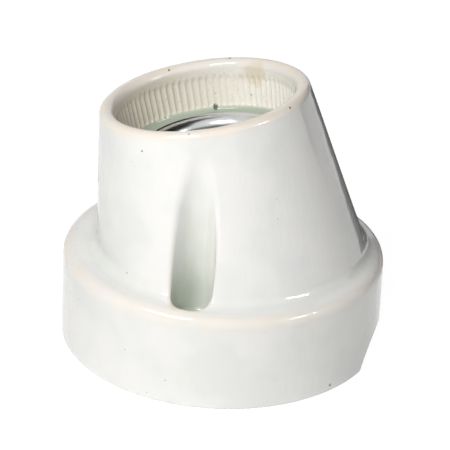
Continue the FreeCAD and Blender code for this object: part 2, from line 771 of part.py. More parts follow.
def make_hexagon_nut(label, u, v, w):
    """A hexagon nut whose upper face is on the seat."""
    body = new_body(label)
    seat_in_cup(body, u, v, w)

    blank = body.newObject("PartDesign::AdditivePrism", "Hexagon")
    blank.Polygon = 6
    bind(blank, "Circumradius", nut_across_flats / 2 / cosine(as_size(30)))
    bind(blank, "Height", nut_height)
    settled(blank)
    hole = new_sketch(body, "Thread", "XY_Plane")
    draw_circle(hole, 0, 0, tapped_radius)
    pocket(body, "ThreadCut", hole, nut_height, upwards=True)
    return body


# ---------------------------------------------------------------------------------------------
# Terminals on the underside of the well's floor
# ---------------------------------------------------------------------------------------------
def make_terminal_plate(label, screw, clamp):
    """A brass plate from its fixing screw to its clamp screw, both tapped, flat on the floor."""
    body = new_body(label)
    seat_in_cup(body, screw[0], screw[1], -plate_under)

    half_width = plate_width / 2
    reach = clamp - screw[0]
    away = 1 if reach.value > 0 else -1
    end = reach + plate_end * away
    outline = new_sketch(body, "PlateOutline", "XY_Plane")
    corners = [
        (0, -half_width, half_width, -away),
        (end, -half_width),
        (end, half_width),
        (0, half_width),
    ]
    draw_outline(outline, corners)
    pad(body, "Plate", outline, plate_thickness)
    taps = new_sketch(body, "Taps", "XY_Plane")
    draw_circle(taps, 0, 0, tapped_radius)
    draw_circle(taps, reach, 0, tapped_radius)
    pocket(body, "TapsCut", taps, plate_thickness, upwards=True)
    return body


def make_clamp_saddle(label, u, v):
    """A saddle whose lugs stand up past the plate's edges and keep the wire in."""
    body = new_body(label)
    seat_in_cup(body, u, v, -saddle_under)

    half_inside = plate_width / 2 + saddle_play
    half_outside = half_inside + saddle_thickness
    profile = new_sketch(body, "SaddleProfile", "YZ_Plane")
    top = saddle_thickness + saddle_lug_height
    corners = [
        (-half_outside, 0),
        (half_outside, 0),
        (half_outside, top),
        (half_inside, top),
        (half_inside, saddle_thickness),
        (-half_inside, saddle_thickness),
        (-half_inside, top),
        (-half_outside, top),
    ]
    draw_outline(profile, corners)
    pad(body, "Saddle", profile, saddle_length, both_ways=True)
    hole = new_sketch(body, "SaddleHole", "XY_Plane")
    draw_circle(hole, 0, 0, free_radius)
    pocket(body, "SaddleHoleCut", hole, saddle_thickness, upwards=True)
    return body


# ---------------------------------------------------------------------------------------------
# The whole holder
# ---------------------------------------------------------------------------------------------
def make_contact_parts():
    through_floor = floor_thickness + plate_thickness + screw_end
    washer_top = -leaf_top + washer_thickness
    length = washer_thickness + leaf_thickness + through_floor
    return [
        make_contact_leaf(),
        make_contact_button(),
        make_spring_washer("contact_washer", -contact_screw_offset, 0, -leaf_top),
        make_cheese_head_screw("contact_screw", -contact_screw_offset, 0, washer_top, length),
    ]


def make_shell_parts():
    seat = sheet_thickness - well_depth
    in_plate = sheet_thickness + floor_thickness + plate_thickness + screw_end
    nut_stack = washer_thickness + nut_height
    in_nut = sheet_thickness + floor_thickness + nut_stack + screw_end
    washer_under = -floor_under - washer_thickness
    nut_under = -floor_under - nut_stack
    return [
        make_screw_shell(),
        make_cheese_head_screw("shell_terminal_screw", 0, shell_screw_offset, seat, in_plate),
        make_cheese_head_screw("shell_fixing_screw", 0, -shell_screw_offset, seat, in_nut),
        make_spring_washer("shell_nut_washer", 0, -shell_screw_offset, washer_under),
        make_hexagon_nut("shell_nut", 0, -shell_screw_offset, nut_under),
    ]


def make_terminal(name, screw, clamp):
    """The plate of one terminal with its clamp saddle and clamp screw."""
    length = saddle_thickness + plate_thickness + clamp_screw_reach
    return [
        make_terminal_plate(f"{name}_terminal_plate", screw, clamp),
        make_clamp_saddle(f"{name}_clamp_saddle", clamp, screw[1]),
        make_cheese_head_screw(
            f"{name}_clamp_screw", clamp, screw[1], -saddle_under, length, upside_down=True
        ),
    ]


def check_and_export(bodies):
    """Stop on any failed object, then write each sub-part's shape to its own file."""
    doc.recompute()
    for item in doc.Objects:
        if "Invalid" in item.State or "Error" in item.State:
            raise RuntimeError(f"{item.Name} is in state {item.State}")
    for body in bodies:
        if body.Shape.isNull() or not body.Shape.isValid() or len(body.Shape.Solids) != 1:
            raise RuntimeError(f"{body.Label} is not one sound solid")
    os.makedirs("parts", exist_ok=True)
    for body in bodies:
        body.Shape.exportStep(f"parts/{body.Label}.step")
        print(f"{body.Label}: {body.Shape.Volume:.1f} mm3")


centre_screw_place = (-contact_screw_offset, as_size(0))
shell_screw_place = (as_size(0), shell_screw_offset)
parts = [make_porcelain_body()]
parts += make_shell_parts()
parts += make_contact_parts()
parts += make_terminal("centre", centre_screw_place, -centre_clamp_offset)
parts += make_terminal("shell", shell_screw_place, shell_clamp_reach)
check_and_export(parts)
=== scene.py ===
"""Looks of a slanted lamp holder in glazed porcelain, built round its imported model.

Every length in the classes is in millimetres, in the row frame: +Z points away from the fixing
plane, the cup leans to -X, the cable enters at +X and the fixing holes lie at -Y and +Y. The lamp
frame starts at the centre of the mouth: u across the cup in the plane of the lean, v along Y and
w out of the mouth, so a depth in the cup is a negative w.
"""

import json
import logging
import math
from dataclasses import dataclass
from enum import Enum
from typing import Any, Sequence

import bmesh
import bpy
import numpy as np
from mathutils import Matrix, Vector

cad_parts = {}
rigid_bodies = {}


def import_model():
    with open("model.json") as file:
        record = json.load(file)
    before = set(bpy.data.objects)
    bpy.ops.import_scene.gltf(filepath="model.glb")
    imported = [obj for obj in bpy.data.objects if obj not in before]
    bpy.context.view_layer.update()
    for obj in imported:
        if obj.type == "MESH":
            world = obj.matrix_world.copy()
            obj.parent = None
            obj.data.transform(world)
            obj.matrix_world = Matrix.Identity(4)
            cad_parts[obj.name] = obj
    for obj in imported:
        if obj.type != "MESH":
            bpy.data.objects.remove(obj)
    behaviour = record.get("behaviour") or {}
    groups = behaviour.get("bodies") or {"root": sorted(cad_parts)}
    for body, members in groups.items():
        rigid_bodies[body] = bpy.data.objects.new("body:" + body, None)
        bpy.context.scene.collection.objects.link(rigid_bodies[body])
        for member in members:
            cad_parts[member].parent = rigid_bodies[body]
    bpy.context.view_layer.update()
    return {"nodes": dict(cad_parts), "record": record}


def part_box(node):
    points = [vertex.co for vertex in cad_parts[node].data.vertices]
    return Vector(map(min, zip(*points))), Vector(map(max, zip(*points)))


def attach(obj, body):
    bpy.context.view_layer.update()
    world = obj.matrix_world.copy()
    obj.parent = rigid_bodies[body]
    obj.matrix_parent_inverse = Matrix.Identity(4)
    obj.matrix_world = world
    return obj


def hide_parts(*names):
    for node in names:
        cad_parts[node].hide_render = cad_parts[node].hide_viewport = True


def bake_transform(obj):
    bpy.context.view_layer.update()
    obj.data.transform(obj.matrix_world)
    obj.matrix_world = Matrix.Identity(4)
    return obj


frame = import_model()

MM = 0.001
SOCKET_DEPTH = 22.8
WELD = 0.002 * MM
SMOOTH_UP_TO = math.radians(38)

Shape = bmesh.types.BMesh
Tree = bpy.types.NodeTree
Socket = bpy.types.NodeSocket
Material = bpy.types.Material
Piece = bpy.types.Object
Array = np.ndarray
Pair = tuple[float, float]
Triple = tuple[float, float, float]

log = logging.getLogger("lamp_holder")


# --- Node and colour helpers ---
def linear(hex_colour: str) -> tuple[float, float, float, float]:
    """Turn an sRGB hex colour, "#rrggbb", into the linear values that the shader sockets take."""
    shares = [int(hex_colour[at:at + 2], 16) / 255 for at in (1, 3, 5)]
    red, green, blue = (s / 12.92 if s <= 0.04045 else ((s + 0.055) / 1.055) ** 2.4 for s in shares)
    return red, green, blue, 1.0


def add_node(tree: Tree, kind: str, links: dict[Any, Any] | None = None,
             **settings: Any) -> bpy.types.Node:
    """Add one node with its settings, and link or fill its inputs.

    Args:
        tree: The node tree.
        kind: The shader node's type, such as "Math".
        links: Input name or number to an output socket or a plain value.
        settings: Attributes of the node itself.

    Returns:
        The new node.
    """
    node = tree.nodes.new(f"ShaderNode{kind}")
    for name, value in settings.items():
        setattr(node, name, value)
    for socket, source in (links or {}).items():
        if isinstance(source, Socket):
            tree.links.new(source, node.inputs[socket])
        else:
            node.inputs[socket].default_value = source
    return node


def new_material(name: str) -> tuple[Material, Tree, bpy.types.Node]:
    """Make an empty node material with a Principled shader.

    Args:
        name: The material's name.

    Returns:
        The material, its node tree and its shader node.
    """
    material = bpy.data.materials.new(name)
    material.use_nodes = True
    tree = material.node_tree
    tree.nodes.clear()
    shader = tree.nodes.new("ShaderNodeBsdfPrincipled")
    add_node(tree, "OutputMaterial", {"Surface": shader.outputs[0]})
    return material, tree, shader


def matte(name: str, colour: str) -> tuple[Material, Tree, bpy.types.Node]:
    """Make a dead matt material, as cloth and paper have, of one colour."""
    material, tree, shader = new_material(name)
    shader.inputs["Base Color"].default_value = linear(colour)
    shader.inputs["Roughness"].default_value = 1.0
    shader.inputs["Specular IOR Level"].default_value = 0.0
    return material, tree, shader


def dress(piece: Piece, material: Material) -> None:
    """Give a piece one material on all its faces."""
    piece.data.materials.clear()
    piece.data.materials.append(material)


def placed(name: str, shape: Shape) -> Piece:
    """Put a shape, which is freed, into the scene as an object and mesh of one name."""
    mesh = bpy.data.meshes.new(name)
    shape.to_mesh(mesh)
    shape.free()
    piece = bpy.data.objects.new(name, mesh)
    bpy.context.scene.collection.objects.link(piece)
    return piece


# --- Studio: camera, lamps, world and floor ---
@dataclass(frozen=True)
class Camera:
    """A long lens that looks down on the holder from its cable side."""

    lens: float = 160.27
    sensor: float = 36.0
    location: Triple = (94.52, -419.71, 243.79)
    right: Triple = (0.970255, 0.238831, 0.039551)
    up: Triple = (-0.141569, 0.427249, 0.892982)
    shift: Pair = (0.00086, -0.00061)
    clip: Pair = (0.05, 20.0)

    def build(self) -> None:
        """Create the camera and make it the scene's own."""
        data = bpy.data.cameras.new("camera")
        data.lens, data.sensor_width = self.lens, self.sensor
        data.shift_x, data.shift_y = self.shift
        data.clip_start, data.clip_end = self.clip
        right, up = Vector(self.right).normalized(), Vector(self.up).normalized()
        turn = Matrix((right, up, right.cross(up))).transposed().to_4x4()
        camera = bpy.data.objects.new("camera", data)
        camera.matrix_world = Matrix.Translation(Vector(self.location) * MM) @ turn
        bpy.context.scene.collection.objects.link(camera)
        bpy.context.scene.camera = camera


@dataclass(frozen=True)
class SoftBox:
    """One rectangular soft lamp, aimed at the middle of the holder.

    A veiled lamp gives no highlight, and a glint gives nothing else.
    """

    name: str
    watts: float
    place: Triple
    size: Pair
    colour: str = "#ffffff"
    veiled: bool = False
    glint: bool = False

    def build(self, target: Vector) -> None:
        """Add the lamp.

        Args:
            target: The point it faces, in metres.
        """
        data = bpy.data.lights.new(self.name, "AREA")
        data.shape = "RECTANGLE"
        data.size, data.size_y = (side * MM for side in self.size)
        data.energy = self.watts
        data.color = linear(self.colour)[:3]
        lamp = bpy.data.objects.new(self.name, data)
        lamp.location = Vector(self.place) * MM
        lamp.rotation_euler = (lamp.location - target).to_track_quat("Z", "Y").to_euler()
        lamp.visible_glossy = not self.veiled
        lamp.visible_diffuse = not self.glint
        bpy.context.scene.collection.objects.link(lamp)


@dataclass(frozen=True)
class DarkCard:
    """A black card that only mirrors see, which gives glaze and plated metal their dark lines."""

    name: str
    place: Triple
    size: Pair
    colour: str = "#2e3030"
    flat: bool = False

    def build(self, target: Vector) -> None:
        """Add the card, facing the target or lying on the table.

        Args:
            target: The point it faces, in metres.
        """
        shape = bmesh.new()
        bmesh.ops.create_grid(shape, x_segments=1, y_segments=1, size=0.5)
        place = Vector(self.place) * MM
        facing = Vector((0, 0, 1)) if self.flat else target - place
        turn = facing.to_track_quat("Z", "Y").to_matrix().to_4x4()
        stretch = Matrix.Diagonal((self.size[0] * MM, self.size[1] * MM, 1.0, 1.0))
        bmesh.ops.transform(shape, matrix=Matrix.Translation(place) @ turn @ stretch, verts=shape.verts)
        card = placed(self.name, shape)
        card.visible_camera = card.visible_diffuse = card.visible_shadow = False
        dress(card, matte(f"{self.name}_cloth", self.colour)[0])


@dataclass(frozen=True)
class Studio:
    """A white table and room, soft lamps left, in front and above, a glint right, and dark cards."""

    floor_side: float = 6000.0
    room_light: float = 0.05
    floor_colour: str = "#f4f4f2"
    floor_glow: float = 0.94
    floor_seen: str = "#7c7c7c"
    aim: Triple = (0.0, 0.0, 28.0)
    lamps: tuple[SoftBox, ...] = (
        SoftBox("left_softbox", 2.45, (-240, -400, 560), (330, 110)),
        SoftBox("front_softbox", 2.3, (60, -570, 430), (420, 420), veiled=True),
        SoftBox("top_softbox", 0.3, (200, 200, 690), (200, 200), veiled=True),
        SoftBox("right_glint", 1.1, (575, -150, 450), (190, 80), glint=True),
    )
    cards: tuple[DarkCard, ...] = (
        DarkCard("overhead_card", (240, 330, 760), (1000, 900)),
        DarkCard("back_card", (480, 800, 260), (760, 700)),
        DarkCard("table_card", (10, 270, 0.5), (150, 410), flat=True),
    )

    def build(self) -> None:
        """Add the lamps, the cards, the room's light and the floor."""
        target = Vector(self.aim) * MM
        for thing in (*self.lamps, *self.cards):
            thing.build(target)
        self._build_world()
        self._build_floor()

    def _build_world(self) -> None:
        """The room: a little light on the object, and white where it is looked at or mirrored."""
        world = bpy.data.worlds.new("white_room")
        bpy.context.scene.world = world
        world.use_nodes = True
        tree = world.node_tree
        tree.nodes.clear()
        seen = self._seen(tree)
        lit, white = (add_node(tree, "Background", {"Color": linear("#ffffff"), "Strength": power})
                      for power in (self.room_light, 1.0))
        mix = add_node(tree, "MixShader", {0: seen, 1: lit.outputs[0], 2: white.outputs[0]})
        add_node(tree, "OutputWorld", {"Surface": mix.outputs[0]})

    @staticmethod
    def _seen(tree: Tree) -> Socket:
        """One where a ray comes from the camera, a gloss or a clear body, and zero elsewhere."""
        rays = add_node(tree, "LightPath")
        total = rays.outputs["Is Camera Ray"]
        for name in ("Is Glossy Ray", "Is Transmission Ray"):
            adder = add_node(tree, "Math", {0: total, 1: rays.outputs[name]},
                             operation="ADD", use_clamp=True)
            total = adder.outputs[0]
        return total

    def _build_floor(self) -> None:
        """A pale floor: white where it is looked at, with its shadow, and clear from below."""
        shape = bmesh.new()
        bmesh.ops.create_grid(shape, x_segments=1, y_segments=1, size=self.floor_side * MM / 2)
        floor = placed("floor", shape)
        material, tree, shader = matte("white_paper", self.floor_colour)
        dress(floor, material)
        shaded = add_node(tree, "BsdfDiffuse", {"Color": linear(self.floor_seen)})
        glow = add_node(tree, "Emission",
                        {"Color": linear("#ffffff"), "Strength": self.floor_glow})
        white = add_node(tree, "AddShader", {0: shaded.outputs[0], 1: glow.outputs[0]})
        mix = add_node(tree, "MixShader",
                       {0: self._seen(tree), 1: shader.outputs[0], 2: white.outputs[0]})
        clear = add_node(tree, "BsdfTransparent")
        under = add_node(tree, "NewGeometry").outputs["Backfacing"]
        sided = add_node(tree, "MixShader",
                         {0: under, 1: mix.outputs[0], 2: clear.outputs[0]})
        output = next(node for node in tree.nodes if node.type == "OUTPUT_MATERIAL")
        tree.links.new(sided.outputs[0], output.inputs["Surface"])


# --- The porcelain as a smooth solid: distances below zero are inside, and edges melt round ---
def melt_cut(first: Array, second: Array, radius: float | Array) -> Array:
    """Distance to what two solids share, with the edge between them rounded.

    Args:
        first: Distances to one solid.
        second: Distances to the other solid.
        radius: Radius of the rounded edge.

    Returns:
        The joint distances.
    """
    near = np.hypot(np.maximum(radius + first, 0), np.maximum(radius + second, 0))
    return np.minimum(np.maximum(first, second), -radius) + near


def melt_join(first: Array, second: Array, radius: float | Array) -> Array:
    """Distance to two solids together, with a hollow rounding where they meet."""
    return -melt_cut(-first, -second, radius)


def melt_out(solid: Array, hollow: Array, radius: float | Array) -> Array:
    """Distance to a solid that a hollow is taken out of, with a rounded edge between them."""
    return melt_cut(solid, -hollow, radius)


def ramp(values: Array, zero_at: float, one_at: float) -> Array:
    """Rise evenly from zero to one between two values, and hold outside them."""
    return np.clip((values - zero_at) / (one_at - zero_at), 0, 1)


@dataclass(frozen=True)
class LampAxis:
    """The lamp frame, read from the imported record's mount for the lamp."""

    mouth: Vector
    out: Vector
    across: Vector

    @classmethod
    def from_frame(cls, well_middle: float) -> "LampAxis":
        """Find the mouth from the socket mount, which lies a known depth below it.

        Args:
            well_middle: Depth of the mount's point below the mouth.

        Returns:
            The lamp frame.
        """
        mounts = {mount["name"]: mount for mount in frame["record"]["mounts"]}
        socket = mounts["lamp_socket"]
        out = Vector(socket["axis"]).normalized()
        mouth = Vector(socket["pos_m"]) / MM + out * well_middle
        return cls(mouth, out, Vector((out.z, 0.0, -out.x)))

    def local(self, points: Array) -> tuple[Array, Array, Array]:
        """Split points of the row frame into u, v and w."""
        shifted = points - np.array(self.mouth)
        return shifted @ np.array(self.across), shifted[:, 1], shifted @ np.array(self.out)

    def place(self, u: float, v: float, w: float) -> Vector:
        """The point of the row frame at u, v and w."""
        return self.mouth + self.across * u + Vector((0, v, 0)) + self.out * w


@dataclass(frozen=True)
class ObliqueCone:
    """A cone between a level circle and the tilted circle of the lamp frame above it."""

    foot_centre: Pair
    foot_radius: float
    top_centre: Pair
    top_radius: float
    across: Pair
    rounds: int = 7

    def distance(self, points: Array) -> Array:
        """Distance to the cone's wall, below zero inside.

        The wall is ruled: each of its sections is an oval in a plane between the two circles'
        planes, so the share of the way up is found first, in a few rounds.
        """
        flat = points[:, [0, 2]]
        foot, top = np.array(self.foot_centre), np.array(self.top_centre)
        level, tilted = np.array((1.0, 0.0)), np.array(self.across)
        rise = top - foot
        share = (flat[:, 1] - foot[1]) / rise[1]
        for _ in range(self.rounds):
            along, centre = self._section(share, foot, rise, level, tilted)
            normal = np.stack((-along[:, 1], along[:, 0]), 1)
            normal /= np.linalg.norm(normal, axis=1)[:, None]
            share = share + ((flat - centre) * normal).sum(1) / (normal @ rise)
        along, centre = self._section(share, foot, rise, level, tilted)
        wide = (1 - share) * self.foot_radius + share * self.top_radius
        long = np.linalg.norm(along, axis=1)
        ahead = ((flat - centre) * along).sum(1) / long
        spread = np.hypot(ahead / long, points[:, 1] / wide)
        reach = np.hypot(ahead, points[:, 1])
        return reach - reach / np.maximum(spread, 1e-6)

    def _section(self, share: Array, foot: Array, rise: Array,
                 level: Array, tilted: Array) -> tuple[Array, Array]:
        """The long half axis and the centre of the section at each share of the way up."""
        share = share[:, None]
        along = (1 - share) * self.foot_radius * level + share * self.top_radius * tilted
        return along, foot + share * rise


@dataclass(frozen=True)
class RibbedBore:
    """The collar's inner wall: a slight cone with hollow flutes between narrow ribs."""

    mouth_radius: float = 21.5
    taper: float = 1.1
    depth: float = 12.35
    ribs: int = 80
    rib_depth: float = 0.35
    hollow: float = 0.96
    start: float = 0.6
    fade: float = 4.0
    end: float = 11.75
    softness: float = 0.05

    def plain_radius(self, depth: Array) -> Array:
        """Radius of the cone at each depth below the mouth."""
        return self.mouth_radius - self.taper * depth / self.depth

    def groove(self, depth: Array, angle: Array) -> Array:
        """How far the fluted wall lies behind the cone, for a pointed round tool."""
        turn = angle * self.ribs / (2 * math.pi)
        aside = (turn - np.round(turn)) * 2 * math.pi * self.plain_radius(depth) / self.ribs
        taper = np.clip((depth - self.start) / self.fade, 0, 1)
        blunt = np.clip(self.end - depth, 0, self.hollow) / self.hollow
        tool = self.hollow * taper * np.sqrt(blunt * (2 - blunt))
        reach = np.sqrt(np.maximum(tool ** 2 - aside ** 2, 0)) - (self.hollow - self.rib_depth)
        return 0.5 * (reach + np.hypot(reach, self.softness)) - 0.001


@dataclass(frozen=True)
class PorcelainForm:
    """The one-piece casting: base, leaning cup, bore, well, pockets and wiring chamber."""

    axis: LampAxis
    base_radius: float
    hole_offset: float
    bore: RibbedBore = RibbedBore()
    base_draft: float = 0.3
    base_height: float = 23.5
    base_edge: float = 2.8
    foot_edge: float = 0.6
    foot_centre: float = 2.15
    foot_radius: float = 32.6
    cup_foot: float = 2.6
    mouth_radius: float = 24.8
    cup_wall: float = 5.0
    rim_outer: float = 1.4
    rim_inner: float = 1.8
    ledge_edge: float = 0.8
    well_radius: float = 15.0
    well_edge: float = 1.2
    well_depth: float = 37.0
    tube_radius: float = 19.5
    floor_under: float = 43.0
    pocket_radius: float = 4.9
    pocket_floor: float = 18.0
    flute_edge: float = 1.15
    hole_radius: float = 2.5
    pillar_radius: float = 7.5
    chamber_radius: float = 34.0
    chamber_roof: float = 18.5
    jacket_depth: float = 22.0
    jacket_radius: float = 24.23
    inner_edge: float = 0.9
    floor_hole: float = 1.8
    shell_screw: float = 8.9
    contact_screw: float = -6.6
    clamp_well: float = 2.2
    clamp_well_top: float = 39.0
    clamps: tuple[Pair, ...] = ((-14.2, 0.0), (10.2, 8.9))
    notch_radius: float = 12.0
    notch_top: float = 6.5
    notch_edge: float = 1.0
    unevenness: float = 0.03
    flute_shallow: Pair = (44.0, 60.0)
    flute_shrink: float = 0.62
    overlap: float = 2.0
    drilled_from: float = 30.0
    drill_edge: float = 0.3
    notch_from: float = 20.0

    def _cone(self, low: float, low_radius: float, depth: float, top_radius: float) -> ObliqueCone:
        """An oblique cone from a level circle to a tilted one at a depth below the mouth."""
        top = self.axis.place(0, 0, -depth)
        return ObliqueCone((self.foot_centre, low), low_radius, (top.x, top.z), top_radius,
                           (self.axis.across.x, self.axis.across.z))

    def _outside(self, points: Array, w: Array) -> Array:
        """The base and the cup before anything is hollowed."""
        x, y, z = points.T
        draft = self.base_draft / self.base_height
        sway = self._sway(points)
        side = np.hypot(x, y) - self.base_radius + draft * z + sway
        base = melt_cut(side, z - self.base_height + sway, self.base_edge)
        base = melt_cut(base, -z, self.foot_edge)
        wall = self._cone(self.base_height, self.foot_radius, 0, self.mouth_radius).distance(points)
        cup = melt_cut(wall + sway, w + sway, self.rim_outer)
        cup = np.maximum(cup, self.base_height - self.overlap - z)
        return melt_join(base, cup, self.cup_foot)

    def _hollow(self, u: Array, v: Array, w: Array, ribbed: bool) -> Array:
        """The ribbed bore over the ledge, and the well of the screw shell under it."""
        around, depth = np.hypot(u, v), -w
        wall = around - self.bore.plain_radius(depth)
        if ribbed:
            wall = wall - self.bore.groove(depth, np.arctan2(v, u))
        bore = melt_cut(wall, depth - self.bore.depth, self.ledge_edge)
        well = melt_cut(around - self.well_radius, depth - self.well_depth, self.foot_edge)
        return melt_join(bore, well, self.well_edge)

    def _chamber(self, points: Array, u: Array, v: Array, w: Array) -> Array:
        """The wiring chamber and the jacket round the well, less the well's tube and the pillars."""
        x, y, z = points.T
        depth = -w
        disc = melt_cut(np.hypot(x, y) - self.chamber_radius, z - self.chamber_roof, self.inner_edge)
        cone = self._cone(self.chamber_roof, self.foot_radius - self.cup_wall,
                          self.jacket_depth, self.jacket_radius)
        jacket = melt_cut(cone.distance(points), self.jacket_depth - depth, self.inner_edge)
        jacket = np.maximum(jacket, self.chamber_roof - self.overlap - z)
        chamber = melt_join(disc, jacket, self.inner_edge)
        tube = melt_cut(np.hypot(u, v) - self.tube_radius, depth - self.floor_under, self.inner_edge)
        chamber = melt_out(chamber, tube, self.inner_edge)
        for side in (-1, 1):
            pillar = np.hypot(x, y - side * self.hole_offset) - self.pillar_radius
            chamber = melt_out(chamber, pillar, self.inner_edge)
        return chamber

    def _drilled(self, solid: Array, u: Array, v: Array, w: Array) -> Array:
        """The floor's screw holes and the blind holes over the clamp screws."""
        depth = -w
        screws = ((0, self.shell_screw), (0, -self.shell_screw), (self.contact_screw, 0))
        for places, radius, top in ((screws, self.floor_hole, self.drilled_from),
                                    (self.clamps, self.clamp_well, self.clamp_well_top)):
            for at_u, at_v in places:
                hole = np.maximum(np.hypot(u - at_u, v - at_v) - radius, top - depth)
                solid = melt_out(solid, hole, self.drill_edge)
        return solid

    def distance(self, points: Array, ribbed: bool = False) -> Array:
        """Distance from each point to the glazed surface, below zero inside."""
        x, y, z = points.T
        u, v, w = self.axis.local(points)
        solid = self._outside(points, w)
        for side in (-1, 1):
            around = np.hypot(x, y - side * self.hole_offset)
            low, high = self.flute_shallow
            rise = np.clip((z - low) / (high - low), 0, 1)
            radius = self.pocket_radius - self.flute_shrink * rise * rise * (3 - 2 * rise)
            pocket = melt_cut(around - radius, self.pocket_floor - z, self.inner_edge)
            solid = melt_out(solid, pocket, self.flute_edge)
            solid = melt_out(solid, around - self.hole_radius, self.foot_edge)
        solid = melt_out(solid, self._chamber(points, u, v, w), self.inner_edge)
        solid = self._drilled(solid, u, v, w)
        arch = np.hypot(y, z - self.notch_top + self.notch_radius) - self.notch_radius
        notch = np.maximum(arch, self.notch_from - x)
        solid = melt_out(solid, notch, self.notch_edge)
        return melt_out(solid, self._hollow(u, v, w, ribbed), self.rim_inner)

    def _sway(self, points: Array) -> Array:
        """The slight unevenness of a pressed and fired body, always inwards."""
        x, y, z = points.T
        long_wave = np.sin(x * 0.13 + 1.1) * np.sin(y * 0.11 + 0.4) + np.sin(z * 0.17 + x * 0.05)
        short_wave = np.sin(x * 0.31 + y * 0.23) * np.sin(z * 0.29 + 0.8)
        return self.unevenness * (2.4 + long_wave + 0.4 * short_wave)

    def slope(self, points: Array, ribbed: bool = False, step: float = 0.02) -> Array:
        """Direction and steepness of the distance at each point."""
        rows = []
        for along in range(3):
            shift = np.zeros(3)
            shift[along] = step
            rows.append(self.distance(points + shift, ribbed) - self.distance(points - shift, ribbed))
        return np.stack(rows, 1) / (2 * step)

    def settle(self, points: Array, rounds: int) -> Array:
        """Move points straight onto the glazed surface."""
        for _ in range(rounds):
            slope = self.slope(points)
            steep = np.maximum((slope ** 2).sum(1), 0.2)
            gap = np.clip(self.distance(points), -0.5, 0.5)
            points = points - slope * (gap / steep)[:, None]
        return points


# --- Metal pieces ---
def joined_copy(node: str) -> Shape:
    """A node's solid with its loose triangles joined."""
    shape = bmesh.new()
    shape.from_mesh(frame["nodes"][node].data)
    bmesh.ops.remove_doubles(shape, verts=shape.verts, dist=WELD)
    return shape


def merged_copy(node: str) -> Shape:
    """A joined solid with its flat faces whole, so that edges can be found and rounded."""
    shape = joined_copy(node)
    bmesh.ops.dissolve_limit(shape, angle_limit=math.radians(1), verts=shape.verts, edges=shape.edges)
    return shape


def sharp_edges(shape: Shape, degrees: float) -> list[bmesh.types.BMEdge]:
    """The edges between two faces that meet at more than an angle."""
    return [edge for edge in shape.edges
            if len(edge.link_faces) == 2 and edge.calc_face_angle() > math.radians(degrees)]


def break_edges(shape: Shape, edges: Sequence[bmesh.types.BMEdge], width: float) -> None:
    """Round edges a little, by a width in millimetres."""
    bmesh.ops.bevel(shape, geom=edges, offset=width * MM, segments=2, profile=0.5,
                    affect="EDGES", clamp_overlap=True, material=-1)


def finished(name: str, shape: Shape, material: Material, body: str,
             slot: str, *nodes: str) -> Piece:
    """Turn a shape into a piece that rides on a body and stands in for its solids.

    Args:
        name: The piece's name.
        shape: Its geometry, which is freed.
        material: Its one material.
        body: The body that carries it.
        slot: The record's slot for its finish; not used.
        nodes: The solids that it replaces.

    Returns:
        The piece.
    """
    bmesh.ops.recalc_face_normals(shape, faces=shape.faces)
    piece = placed(name, shape)
    piece.data.shade_smooth()
    piece.data.set_sharp_from_angle(angle=SMOOTH_UP_TO)
    dress(piece, material)
    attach(piece, body)
    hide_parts(*nodes)
    log.info("%s: %d faces", name, len(piece.data.polygons))
    return piece


def join_rings(shape: Shape, rings: Sequence[Sequence[bmesh.types.BMVert]]) -> None:
    """Lay a band of faces between each two neighbouring rings of points."""
    for upper, lower in zip(rings, rings[1:]):
        for at in range(len(upper)):
            shape.faces.new((upper[at - 1], upper[at], lower[at], lower[at - 1])).smooth = True


def ring_edges(ring: Sequence[bmesh.types.BMVert]) -> list[bmesh.types.BMEdge]:
    """The edges along a closed ring of points."""
    members = set(ring)
    found = {edge for point in ring for edge in point.link_edges if edge.other_vert(point) in members}
    return list(found)


